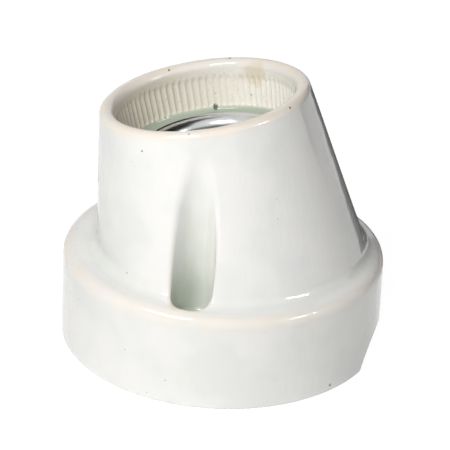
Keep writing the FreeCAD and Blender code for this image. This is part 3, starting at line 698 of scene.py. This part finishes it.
@dataclass(frozen=True)
class ScrewShell:
    """Drawn sheet with the large Edison thread rolled in: an off-centre circle that winds round."""

    node: str = "screw_shell"
    radius: float = 13.35
    sheet: float = 0.45
    pitch: float = 3.63
    off_centre: float = 0.475
    flare: float = 2.65
    lip_radius: float = 17.0
    bead: float = 0.375
    ledge: float = 12.35
    thread_start: float = 17.0
    thread_end: float = 31.0
    neck_step: float = 1.55
    kept_below: float = 33.6
    steps_round: int = 120
    step_down: float = 0.3

    def build(self, axis: LampAxis, material: Material) -> Piece:
        """Swap the plain sleeve of the solid for the rolled one, and keep its floor.

        Args:
            axis: The lamp frame.
            material: The nickel-plated sheet.

        Returns:
            The piece.
        """
        shape = joined_copy(self.node)
        whole = [*shape.verts, *shape.edges, *shape.faces]
        bmesh.ops.bisect_plane(shape, geom=whole, dist=1e-6, clear_outer=True,
                               plane_co=axis.place(0, 0, -self.kept_below) * MM, plane_no=axis.out)
        seams = [edge for edge in shape.edges if edge.is_boundary]
        middle = self.radius - self.neck_step + self.sheet / 2
        inner = [edge for edge in seams if self._reach(edge.verts[0].co, axis) < middle]
        outer = [edge for edge in seams if self._reach(edge.verts[0].co, axis) >= middle]
        rings = [self._ring(shape, axis, *point) for point in self._section()]
        join_rings(shape, rings)
        bmesh.ops.bridge_loops(shape, edges=inner + ring_edges(rings[0]))
        bmesh.ops.bridge_loops(shape, edges=outer + ring_edges(rings[-1]))
        return finished("nickel_screw_shell", shape, material, "holder", "nickel_plated_brass",
                        self.node)

    @staticmethod
    def _reach(point: Vector, axis: LampAxis) -> float:
        """Distance of a point in metres from the lamp axis, in millimetres."""
        off = point / MM - axis.mouth
        return (off - axis.out * off.dot(axis.out)).length

    def _ring(self, shape: Shape, axis: LampAxis, radius: float, depth: float,
              thread: float) -> list[bmesh.types.BMVert]:
        """One ring of points, drawn in where the thread winds past."""
        points = []
        for step in range(self.steps_round):
            angle = step * 2 * math.pi / self.steps_round
            phase = angle + depth * 2 * math.pi / self.pitch
            reach = radius - thread * self.off_centre * (1 - math.cos(phase))
            place = axis.place(reach * math.cos(angle), reach * math.sin(angle), -depth)
            points.append(shape.verts.new(place * MM))
        return points

    def _thread_depths(self) -> list[float]:
        """Rows of the threaded length, from its end up to the flare."""
        top = self.ledge - self.sheet + self.flare
        rows = round((self.thread_end - top) / self.step_down)
        return [self.thread_end + (top - self.thread_end) * row / rows for row in range(rows + 1)]

    def _fade(self, depth: float) -> float:
        """Share of the thread's full height, which grows over half a turn at both ends."""
        near = min(depth - self.thread_start, self.thread_end - depth) / (self.pitch / 2)
        near = max(0.0, min(1.0, near))
        return near * near * (3 - 2 * near)

    @staticmethod
    def _arc(radius: float, depth: float, size: float, turns: Sequence[float]) -> list[Triple]:
        """An arc of the section about a radius and depth, with no thread on it."""
        return [(radius + size * math.cos(t), depth + size * math.sin(t), 0.0) for t in turns]

    def _section(self) -> list[Triple]:
        """The sheet's section as radius, depth and share of thread: up inside, down outside."""
        neck, start = self.radius - self.neck_step, self.kept_below - 0.3
        inside = [(neck, start, 0.0), (neck, self.thread_end + self.neck_step + 0.15, 0.0),
                  (neck + 0.12, self.thread_end + self.neck_step - 0.12, 0.0)]
        inside += [(self.radius, depth, self._fade(depth)) for depth in self._thread_depths()]
        centre = self.ledge - self.sheet + self.flare
        turns = [math.radians(degrees) for degrees in range(10, 91, 10)]
        mouth = self.radius + self.flare
        inside += self._arc(mouth, centre, -self.flare, turns)
        bead = [math.radians(degrees) for degrees in range(-150, 91, 24)]
        rolled = self._arc(self.lip_radius - self.bead, self.ledge - self.bead, self.bead, bead)
        outside = self._arc(mouth, centre, self.sheet - self.flare, turns[::-1])
        outside += [(self.radius + self.sheet, depth, self._fade(depth))
                    for depth in reversed(self._thread_depths())]
        outside += [(neck + self.sheet + 0.12, self.thread_end + self.neck_step - 0.12, 0.0),
                    (neck + self.sheet, self.thread_end + self.neck_step + 0.15, 0.0),
                    (neck + self.sheet, start, 0.0)]
        return inside + rolled + outside


@dataclass(frozen=True)
class ContactLeaf:
    """The spring leaf, cut into short lengths."""

    node: str = "contact_leaf"
    cuts: int = 16
    foot: float = 36.4
    head: float = 32.9
    cut_from: float = -8.0
    cut_span: float = 14.0

    def build(self, axis: LampAxis, material: Material) -> Piece:
        """Make the leaf in short lengths, free of any body."""
        shape = merged_copy(self.node)
        for cut in range(self.cuts):
            u = self.cut_from + self.cut_span * cut / (self.cuts - 1)
            bmesh.ops.bisect_plane(shape, geom=[*shape.verts, *shape.edges, *shape.faces], dist=1e-6,
                                   plane_co=axis.place(u, 0, 0) * MM, plane_no=axis.across)
        piece = finished("spring_leaf", shape, material, "holder", "phosphor_bronze", self.node)
        piece.parent = None
        start, end = axis.place(0, 0, -self.foot) * MM, axis.place(0, 0, -self.head) * MM
        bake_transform(piece)
        return piece


@dataclass(frozen=True)
class SmallPart:
    """A stamped or turned small part: the solid with its sharp edges broken."""

    node: str
    body: str
    slot: str
    edge: float = 0.12
    sharp_from: float = 40.0

    def build(self, material: Material) -> Piece:
        """Make the part with broken edges."""
        shape = merged_copy(self.node)
        break_edges(shape, sharp_edges(shape, self.sharp_from), self.edge)
        name = f"{self.node}_finished"
        return finished(name, shape, material, self.body, self.slot, self.node)


@dataclass(frozen=True)
class MachineScrew:
    """A cheese-head screw with its thread, its head broken at the edges."""

    node: str
    body: str
    place: Pair
    under_head: float
    end: float
    headed_down: bool = False
    core: float = 1.45
    pitch: float = 0.5
    thread: float = 0.14
    steps_round: int = 20
    rows_per_turn: int = 5
    edge: float = 0.16
    sharp_from: float = 60.0
    stub: float = 0.25
    joint: float = 0.1
    tip: float = 0.3
    run_in: int = 4

    def build(self, axis: LampAxis, material: Material) -> Piece:
        """Keep the solid's head and lay a threaded shank against it."""
        shape = merged_copy(self.node)
        side = -1 if self.headed_down else 1
        cut_at = self.under_head + side * self.stub
        whole = [*shape.verts, *shape.edges, *shape.faces]
        bmesh.ops.bisect_plane(shape, geom=whole, dist=1e-6, clear_inner=True,
                               plane_co=axis.place(0, 0, -cut_at) * MM, plane_no=axis.out * side)
        seam = [edge for edge in shape.edges if edge.is_boundary]
        sharp = sharp_edges(shape, self.sharp_from)
        rings = self._rings(shape, axis, cut_at + side * self.joint)
        join_rings(shape, rings)
        bmesh.ops.bridge_loops(shape, edges=seam + ring_edges(rings[0]))
        shape.faces.new(rings[-1])
        break_edges(shape, sharp, self.edge)
        name = f"{self.node}_threaded"
        return finished(name, shape, material, self.body, "zinc_plated_steel", self.node)

    def _rings(self, shape: Shape, axis: LampAxis,
               start: float) -> list[list[bmesh.types.BMVert]]:
        """Rings of the shank, with the thread cut in and a short bevel at the end."""
        rows = max(2, round(abs(self.end - start) / self.pitch * self.rows_per_turn))
        rings = []
        for row in range(rows + 1):
            depth = start + (self.end - start) * row / rows
            left = abs(self.end - depth)
            bevel = max(0.0, self.tip - left)
            ring = []
            for step in range(self.steps_round):
                angle = step * 2 * math.pi / self.steps_round
                phase = angle + depth * 2 * math.pi / self.pitch
                grown = min(1.0, row / self.run_in)
                reach = self.core - bevel - self.thread * (1 - math.cos(phase)) * grown
                u = self.place[0] + reach * math.cos(angle)
                v = self.place[1] + reach * math.sin(angle)
                ring.append(shape.verts.new(axis.place(u, v, -depth) * MM))
            rings.append(ring)
        return rings


SCREWS = (
    MachineScrew("contact_screw", "holder", (-6.6, 0.0), 35.8, 45.8),
    MachineScrew("shell_terminal_screw", "holder", (0.0, 8.9), 36.55, 45.8),
    MachineScrew("shell_fixing_screw", "holder", (0.0, -8.9), 36.55, 46.9),
    MachineScrew("centre_clamp_screw", "centre_screw", (-14.2, 0.0), 46.0, 40.0, headed_down=True),
    MachineScrew("shell_clamp_screw", "shell_screw", (10.2, 8.9), 46.0, 40.0, headed_down=True),
)
SMALL_PARTS = (
    SmallPart("shell_nut_washer", "holder", "zinc_plated_steel", 0.06),
    SmallPart("shell_nut", "holder", "brass"),
    SmallPart("contact_button", "contact_button", "brass", 0.15),
    SmallPart("contact_washer", "holder", "zinc_plated_steel", 0.06),
    SmallPart("centre_terminal_plate", "holder", "brass"),
    SmallPart("centre_clamp_saddle", "centre_saddle", "brass"),
    SmallPart("shell_terminal_plate", "holder", "brass"),
    SmallPart("shell_clamp_saddle", "shell_saddle", "brass"),
)


@dataclass(frozen=True)
class PorcelainBody:
    """The casting's skin, drawn from its solid and melted smooth as the glaze leaves it."""

    node: str = "porcelain_body"
    voxel: float = 0.45
    kept: float = 0.42
    patch_top: float = 2.2
    patch_end: float = 11.85
    seam: float = 0.3
    rows: int = 26
    glaze_spread: int = 9
    wall_depths: Pair = (1.0, 13.0)
    wall_radii: Pair = (19.0, 23.0)
    # Colour zones: the collar wall is painted warmer and lighter, the lightness painted light.
    collar_zone: tuple[Pair, ...] = ((22.6, 21.8), (18.6, 19.2), (0.8, 2.4), (12.3, 11.8))
    # The ledge: pooled green glaze painted darker with painted shade.
    ledge_zone: tuple[Pair, ...] = ((20.9, 20.3), (14.0, 15.0), (10.9, 11.9), (14.5, 13.0))
    # Grime with painted shade, growing from u 4 to u -18 towards the lean side.
    grime_and_shade_fade: Pair = (4.0, -18.0)
    # Painted shade low in the fixing pockets, darkest on their -X side, with pooled green glaze.
    pocket_shade_ring: Pair = (5.9, 5.2)
    pocket_shade_rise: Pair = (22.0, 18.3)
    pocket_shade_side: Pair = (3.5, -1.5)
    across_rib: tuple[float, ...] = (-0.5, -0.41, -0.28, -0.14, 0.0, 0.14, 0.28, 0.41)

    def build(self, form: PorcelainForm, material: Material) -> Piece:
        """Make the skin.

        Args:
            form: The smooth solid it lies on.
            material: The glazed porcelain.

        Returns:
            The new piece, which stands in for the solid's own mesh.
        """
        piece = self._remeshed(form)
        shape = bmesh.new()
        shape.from_mesh(piece.data)
        self._lay_ribs(shape, form)
        bmesh.ops.recalc_face_normals(shape, faces=shape.faces)
        shape.to_mesh(piece.data)
        shape.free()
        self._smooth_normals(piece.data, form)
        dress(piece, material)
        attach(piece, "holder")
        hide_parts(self.node)
        log.info("porcelain body: %d faces", len(piece.data.polygons))
        return piece

    def _remeshed(self, form: PorcelainForm) -> Piece:
        """The solid in even faces, laid on the smooth form and thinned."""
        piece = placed("porcelain_skin", joined_copy(self.node))
        self._apply(piece, "REMESH", mode="VOXEL", voxel_size=self.voxel * MM, use_smooth_shade=True)
        self._settle(piece.data, form, 3)
        self._apply(piece, "DECIMATE", ratio=self.kept, use_collapse_triangulate=True)
        self._settle(piece.data, form, 2)
        return piece

    @staticmethod
    def _apply(piece: Piece, kind: str, **settings: Any) -> None:
        """Run one modifier on a piece and keep its result as the piece's mesh."""
        modifier = piece.modifiers.new(kind.lower(), kind)
        for name, value in settings.items():
            setattr(modifier, name, value)
        graph = bpy.context.evaluated_depsgraph_get()
        mesh = bpy.data.meshes.new_from_object(piece.evaluated_get(graph))
        piece.modifiers.clear()
        old, piece.data = piece.data, mesh
        bpy.data.meshes.remove(old)

    @staticmethod
    def _settle(mesh: bpy.types.Mesh, form: PorcelainForm, rounds: int) -> None:
        """Lay a mesh's points on the smooth form."""
        flat = np.empty(len(mesh.vertices) * 3)
        mesh.vertices.foreach_get("co", flat)
        points = form.settle(flat.reshape(-1, 3) / MM, rounds)
        mesh.vertices.foreach_set("co", (points * MM).ravel())
        mesh.update()

    def _lay_ribs(self, shape: Shape, form: PorcelainForm) -> None:
        """Swap the bore's plain wall for one with its ribs."""
        axis = form.axis
        for depth in (self.patch_top, self.patch_end):
            faces = [face for face in shape.faces if self._on_wall(face, axis, *self.wall_depths)]
            edges = {edge for face in faces for edge in face.edges}
            points = {point for face in faces for point in face.verts}
            bmesh.ops.bisect_plane(shape, geom=[*points, *edges, *faces], dist=1e-6,
                                   plane_co=axis.place(0, 0, -depth) * MM, plane_no=axis.out)
        wall = [face for face in shape.faces
                if self._on_wall(face, axis, self.patch_top, self.patch_end)]
        bmesh.ops.delete(shape, geom=wall, context="FACES")
        open_edges = [edge for edge in shape.edges if edge.is_boundary]
        loose = [edge for edge in shape.edges if edge.is_wire]
        bmesh.ops.delete(shape, geom=loose, context="EDGES")
        middle = (self.patch_top + self.patch_end) / 2
        upper, lower = [], []
        for edge in open_edges:
            depth = self._depth(edge.verts[0].co, axis)
            (upper if depth < middle else lower).append(edge)
        rings = self._rings(shape, form)
        for loop, ring in ((upper, rings[0]), (lower, rings[-1])):
            bmesh.ops.bridge_loops(shape, edges=loop + ring_edges(ring))

    @staticmethod
    def _depth(point: Vector, axis: LampAxis) -> float:
        """Depth of a point in metres below the mouth, in millimetres."""
        return (axis.mouth - point / MM).dot(axis.out)

    def _on_wall(self, face: bmesh.types.BMFace, axis: LampAxis, top: float, end: float) -> bool:
        """Whether a face lies on the bore's wall between two depths."""
        middle = face.calc_center_median()
        depth = self._depth(middle, axis)
        if not top < depth < end:
            return False
        off = middle / MM - axis.mouth + axis.out * depth
        return self.wall_radii[0] < off.length < self.wall_radii[1]

    def _rings(self, shape: Shape, form: PorcelainForm) -> list[list[bmesh.types.BMVert]]:
        """Rows of points on the ribbed wall, joined by faces."""
        bore, axis = form.bore, form.axis
        depths = np.linspace(self.patch_top + self.seam, self.patch_end - self.seam, self.rows)
        turns = np.add.outer(np.arange(bore.ribs), np.array(self.across_rib)).ravel()
        angles = turns * 2 * math.pi / bore.ribs
        rings = []
        for depth in depths:
            radius = bore.plain_radius(depth) + bore.groove(np.full_like(angles, depth), angles)
            places = [axis.place(r * math.cos(a), r * math.sin(a), -depth) * MM
                      for r, a in zip(radius, angles)]
            rings.append([shape.verts.new(place) for place in places])
        join_rings(shape, rings)
        return rings

    def _smooth_normals(self, mesh: bpy.types.Mesh, form: PorcelainForm) -> None:
        """Light each point by the smooth form's own slope."""
        mesh.shade_smooth()
        flat = np.empty(len(mesh.vertices) * 3)
        mesh.vertices.foreach_get("co", flat)
        points = flat.reshape(-1, 3) / MM
        slope = form.slope(points, ribbed=True)
        slope /= np.maximum(np.linalg.norm(slope, axis=1), 1e-9)[:, None]
        mesh.normals_split_custom_set_from_vertices(slope)
        u, v, w = form.axis.local(points)
        around, depth = np.hypot(u, v), -w
        wall, ledge = (self._zone(around, depth, zone) for zone in (self.collar_zone, self.ledge_zone))
        # The collar wall, which the material paints warmer and lighter; the lightness is painted light.
        self._store(mesh, "collar", wall)
        # Grime with painted shade: darker on the collar wall towards the lean side.
        self._store(mesh, "grime_and_shade", 0.75 * wall * ramp(u, *self.grime_and_shade_fade))
        x, y, z = points.T
        # Painted shade low in the fixing pockets, darker on their -X side, with pooled glaze.
        pocket = ramp(np.hypot(x, np.abs(y) - form.hole_offset), *self.pocket_shade_ring)
        pocket = pocket * ramp(z, *self.pocket_shade_rise)
        edges = ramp(z, 3.0, 9.0) * (1 - 0.7 * ramp(depth, 3.0, 5.0) * ramp(z, 24.0, 26.0))
        bend = self._hollowness(mesh, points, slope) * (1 - 0.75 * wall)
        # The ledge attribute: pooled glaze with painted shade on the ledge and low in the pockets.
        self._store(mesh, "ledge", np.maximum(ledge, 0.95 * pocket * ramp(x, *self.pocket_shade_side)))
        self._store(mesh, "glaze", np.where(bend < 0, bend * edges, bend))

    @staticmethod
    def _zone(around: Array, depth: Array, zone: tuple[Pair, ...]) -> Array:
        """One within two radii and two depths of the cup, fading to zero at each of the four."""
        outer, inner, top, end = zone
        return ramp(around, *outer) * ramp(around, *inner) * ramp(depth, *top) * ramp(depth, *end)

    @staticmethod
    def _store(mesh: bpy.types.Mesh, name: str, values: Array) -> None:
        """Keep one value for each point of a mesh, for its material to read."""
        attribute = mesh.attributes.new(name, "FLOAT", "POINT")
        attribute.data.foreach_set("value", values.astype(np.float32))

    def _hollowness(self, mesh: bpy.types.Mesh, points: Array, normals: Array) -> Array:
        """Bend of the skin at each point, per millimetre: above zero in a hollow."""
        pairs = np.empty(len(mesh.edges) * 2, dtype=np.int64)
        mesh.edges.foreach_get("vertices", pairs)
        one, two = pairs.reshape(-1, 2).T
        along = points[two] - points[one]
        square = np.maximum((along ** 2).sum(1), 1e-4)
        lift = ((normals[one] - normals[two]) * along).sum(1) / square
        total = len(points)
        count = np.bincount(one, minlength=total) + np.bincount(two, minlength=total)
        bend = (np.bincount(one, lift, total) + np.bincount(two, lift, total)) / count
        for _ in range(self.glaze_spread):
            near = np.bincount(one, bend[two], total) + np.bincount(two, bend[one], total)
            bend = 0.4 * bend + 0.6 * near / count
        return bend


# --- Finishes ---
def spread(tree: Tree, value: Socket, low: float, high: float,
           low_out: float = 0.0, high_out: float = 1.0) -> Socket:
    """Map a value from one range to another, held at both ends."""
    node = add_node(tree, "MapRange", {0: value, 1: low, 2: high, 3: low_out, 4: high_out})
    return node.outputs[0]


def tint(tree: Tree, base: Any, other: Any, share: Any) -> Socket:
    """Mix two colours by a share."""
    node = add_node(tree, "Mix", {0: share, 6: base, 7: other}, data_type="RGBA")
    return node.outputs[2]


def grain(tree: Tree, place: Socket, size_mm: float,
          detail: float = 2.0) -> Socket:
    """Even noise whose features are about so many millimetres across."""
    node = add_node(tree, "TexNoise",
                    {"Vector": place, "Scale": 1 / (size_mm * MM), "Detail": detail})
    return node.outputs[0]


@dataclass(frozen=True)
class Mark:
    """One small flaw in the glaze: where it lies, how wide it is and its colour."""

    place: Triple
    width: float
    colour: str = "#5b4a37"
    strength: float = 0.85

    def add(self, tree: Tree, place: Socket, base: Any) -> Socket:
        """Lay the mark over a colour, with a ragged edge."""
        middle, width = Vector(self.place) * MM, self.width * MM
        away = add_node(tree, "VectorMath", {0: place, 1: middle}, operation="DISTANCE")
        rough = grain(tree, place, self.width * 0.5)
        torn = add_node(tree, "Math", {0: rough, 1: width * 0.9, 2: away.outputs["Value"]},
                        operation="MULTIPLY_ADD")
        share = spread(tree, torn.outputs[0], width * 0.72, width * 0.95, self.strength, 0.0)
        return tint(tree, base, linear(self.colour), share)


@dataclass(frozen=True)
class GlazedPorcelain:
    """Hard-paste porcelain, cast, dipped and fired: a white body under a clear, faintly green glaze.

    The glaze runs off the edges, where the body shows cream through it, and pools green in the
    corners. The skin brings four attributes: "glaze" is below zero on edges and above it in
    hollows, "collar" is one on the wall inside the collar, which is painted warmer and lighter,
    the lightness painted light, "grime_and_shade" grows there towards the lean side, for grime
    with painted shade, and "ledge" is one on the ledge and low in the fixing pockets, for pooled
    glaze with painted shade.
    """

    body: str = "#f1f0ed"
    cloud: str = "#eaebe8"
    thin: str = "#f3e6d6"
    pooled: str = "#dfe2d8"
    # Ledge and pockets: pooled green glaze, darkened with painted shade.
    ledge: str = "#a7b2a2"
    # Collar wall: warmer, and lighter as painted light.
    collar: str = "#faf6ec"
    # Lean side of the collar: grime with painted shade.
    grime_and_shade: str = "#d3cab8"
    collar_dust: str = "#c3b79c"
    speck: str = "#8b7a5e"
    roughness: float = 0.045
    ior: float = 1.5
    ripple: float = 0.5
    marks: tuple[Mark, ...] = (
        Mark((-8.24, 20.3, 49.4), 1.7, "#46503f", 0.9),
        Mark((-19.5, 17.6, 58.6), 0.7),
        Mark((-5.7, 23.1, 61.5), 0.8, "#6f6b4e"),
        Mark((16.1, -9.5, 64.7), 0.75, "#3f2f22", 0.95),
        Mark((-3.6, -24.1, 61.6), 0.5),
        Mark((-14.4, -23.9, 55.7), 0.55, "#4d4330"),
        Mark((-16.6, -26.3, 25.5), 0.6, "#8c7d63", 0.7),
        Mark((-25.5, -9.0, 56.8), 0.6),
        Mark((0.7, 20.0, 53.9), 0.6, "#8d8066", 0.7),
        Mark((-11.4, 20.0, 54.0), 0.5, "#8d8066", 0.7),
        Mark((-3.6, -38.6, 6.1), 0.5, "#8d8066", 0.6),
        Mark((31.9, -22.2, 1.8), 0.9, "#7b6c50", 0.7),
    )
    stain: Mark = Mark((1.2, 19.9, 58.9), 8.4, "#dac79a", 0.4)

    def material(self) -> Material:
        """Build the material."""
        material, tree, shader = new_material("glazed_porcelain")
        place = add_node(tree, "TexCoord").outputs["Object"]
        clouds = spread(tree, grain(tree, place, 14), 0.42, 0.62)
        colour = tint(tree, linear(self.body), linear(self.cloud), clouds)
        colour = self._glaze(tree, place, colour)
        colour = self._collar(tree, place, colour)
        for mark in self.marks:
            colour = mark.add(tree, place, colour)
        tree.links.new(colour, shader.inputs["Base Color"])
        worn = spread(tree, grain(tree, place, 5), 0.35, 0.7, self.roughness, self.roughness * 2.0)
        tree.links.new(worn, shader.inputs["Roughness"])
        shader.inputs["IOR"].default_value = self.ior
        self._ripples(tree, place, shader)
        return material

    def _glaze(self, tree: Tree, place: Socket, base: Any) -> Socket:
        """Cream where the glaze is thin and green where it pools, both slightly uneven."""
        melt = add_node(tree, "Attribute", attribute_name="glaze").outputs["Fac"]
        uneven = spread(tree, grain(tree, place, 6), 0.3, 0.7, 0.45, 0.95)
        thin, deep = (add_node(tree, "Math", {0: spread(tree, melt, *bend), 1: uneven},
                               operation="MULTIPLY", use_clamp=True).outputs[0]
                      for bend in ((-0.05, -0.26), (0.03, 0.3)))
        return tint(tree, tint(tree, base, linear(self.thin), thin), linear(self.pooled), deep)

    def _collar(self, tree: Tree, place: Socket, base: Any) -> Socket:
        """The collar wall, warmer and lighter as painted light, darker to the lean side with grime and
        painted shade, the ledge and pockets green-grey with pooled glaze and painted shade, with fine
        specks and a stain.
        """
        inside, grime_and_shade, ledge = (
            add_node(tree, "Attribute", attribute_name=name).outputs["Fac"]
            for name in ("collar", "grime_and_shade", "ledge"))
        warm = base
        # In turn: the collar wall warmer and lighter as painted light, its lean side darker with grime
        # and painted shade, the ledge and pockets green-grey with pooled glaze and painted shade.
        for colour, share in ((self.collar, inside), (self.grime_and_shade, grime_and_shade), (self.ledge, ledge)):
            warm = tint(tree, warm, linear(colour), share)
        dust = add_node(tree, "Math",
                        {0: spread(tree, grain(tree, place, 0.7, 1), 0.66, 0.76), 1: inside},
                        operation="MULTIPLY").outputs[0]
        dust = add_node(tree, "Math", {0: dust, 1: 0.55}, operation="MULTIPLY").outputs[0]
        warm = tint(tree, warm, linear(self.collar_dust), dust)
        pin = add_node(tree, "TexVoronoi", {"Vector": place, "Scale": 1 / (5.5 * MM)})
        dots = spread(tree, pin.outputs["Distance"], 0.02, 0.045, 0.5, 0.0)
        warm = tint(tree, warm, linear(self.speck), dots)
        return self.stain.add(tree, place, warm)

    def _ripples(self, tree: Tree, place: Socket, shader: bpy.types.Node) -> None:
        """The slightly rippled skin of a dipped glaze, drawn out down the walls."""
        drawn = add_node(tree, "Mapping", {"Vector": place, "Scale": (1.0, 1.0, 0.35)})
        runs = grain(tree, drawn.outputs[0], 1.6, 1)
        pits = grain(tree, place, 0.5, 1)
        height = add_node(tree, "Math", {0: pits, 1: 0.25, 2: runs}, operation="MULTIPLY_ADD")
        bump = add_node(tree, "Bump", {"Height": height.outputs[0], "Strength": self.ripple,
                                                 "Distance": 0.12 * MM})
        tree.links.new(bump.outputs[0], shader.inputs["Normal"])


class Metal(Enum):
    """Metals of the small parts, as name, colour, roughness and unevenness.

    Bright nickel mirrors softly, zinc plate is greyer and duller, stamped brass shows a warm blurred
    gloss, and rolled phosphor bronze is redder.
    """

    NICKEL_PLATE = ("nickel_plated_brass", "#c9cbca", 0.2, 0.06)
    ZINC_PLATE = ("zinc_plated_steel", "#b9bcbe", 0.28, 0.12)
    BRASS = ("brass", "#c9a35a", 0.3, 0.14)
    PHOSPHOR_BRONZE = ("phosphor_bronze", "#b07c4e", 0.26, 0.1)

    def material(self) -> Material:
        """Build the metal: plain reflection, a little uneven from drawing and handling."""
        name, colour, rough, uneven = self.value
        material, tree, shader = new_material(name)
        place = add_node(tree, "TexCoord").outputs["Object"]
        worn = spread(tree, grain(tree, place, 3), 0.5, 0.8, 0.0, 0.3)
        dull = tint(tree, linear(colour), (0.32, 0.32, 0.32, 1.0), worn)
        tree.links.new(dull, shader.inputs["Base Color"])
        shader.inputs["Metallic"].default_value = 1.0
        rub = spread(tree, grain(tree, place, 1.5), 0.3, 0.7, rough, rough + uneven)
        tree.links.new(rub, shader.inputs["Roughness"])
        return material


# --- Making ---
def build_porcelain(axis: LampAxis) -> None:
    """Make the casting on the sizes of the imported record."""
    holes = next(mount for mount in frame["record"]["mounts"] if mount["name"] == "fixing_holes")
    base_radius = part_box("porcelain_body")[1][1] / MM
    form = PorcelainForm(axis, base_radius=base_radius, hole_offset=holes["dims"]["spacing_y_mm"] / 2)
    PorcelainBody().build(form, GlazedPorcelain().material())


def build_metal(axis: LampAxis) -> None:
    """Make the shell, the contact and the terminals."""
    nickel, zinc = Metal.NICKEL_PLATE.material(), Metal.ZINC_PLATE.material()
    brass, bronze = Metal.BRASS.material(), Metal.PHOSPHOR_BRONZE.material()
    ScrewShell().build(axis, nickel)
    ContactLeaf().build(axis, bronze)
    for screw in SCREWS:
        screw.build(axis, zinc)
    for part in SMALL_PARTS:
        part.build(brass if part.slot == "brass" else zinc)


def main() -> None:
    """Build the studio and dress every piece."""
    logging.basicConfig(level=logging.INFO, format="%(message)s")
    bpy.context.scene.view_settings.view_transform = "Standard"
    Camera().build()
    Studio().build()
    axis = LampAxis.from_frame(SOCKET_DEPTH)
    build_porcelain(axis)
    build_metal(axis)


if __name__ == "__main__":
    main()
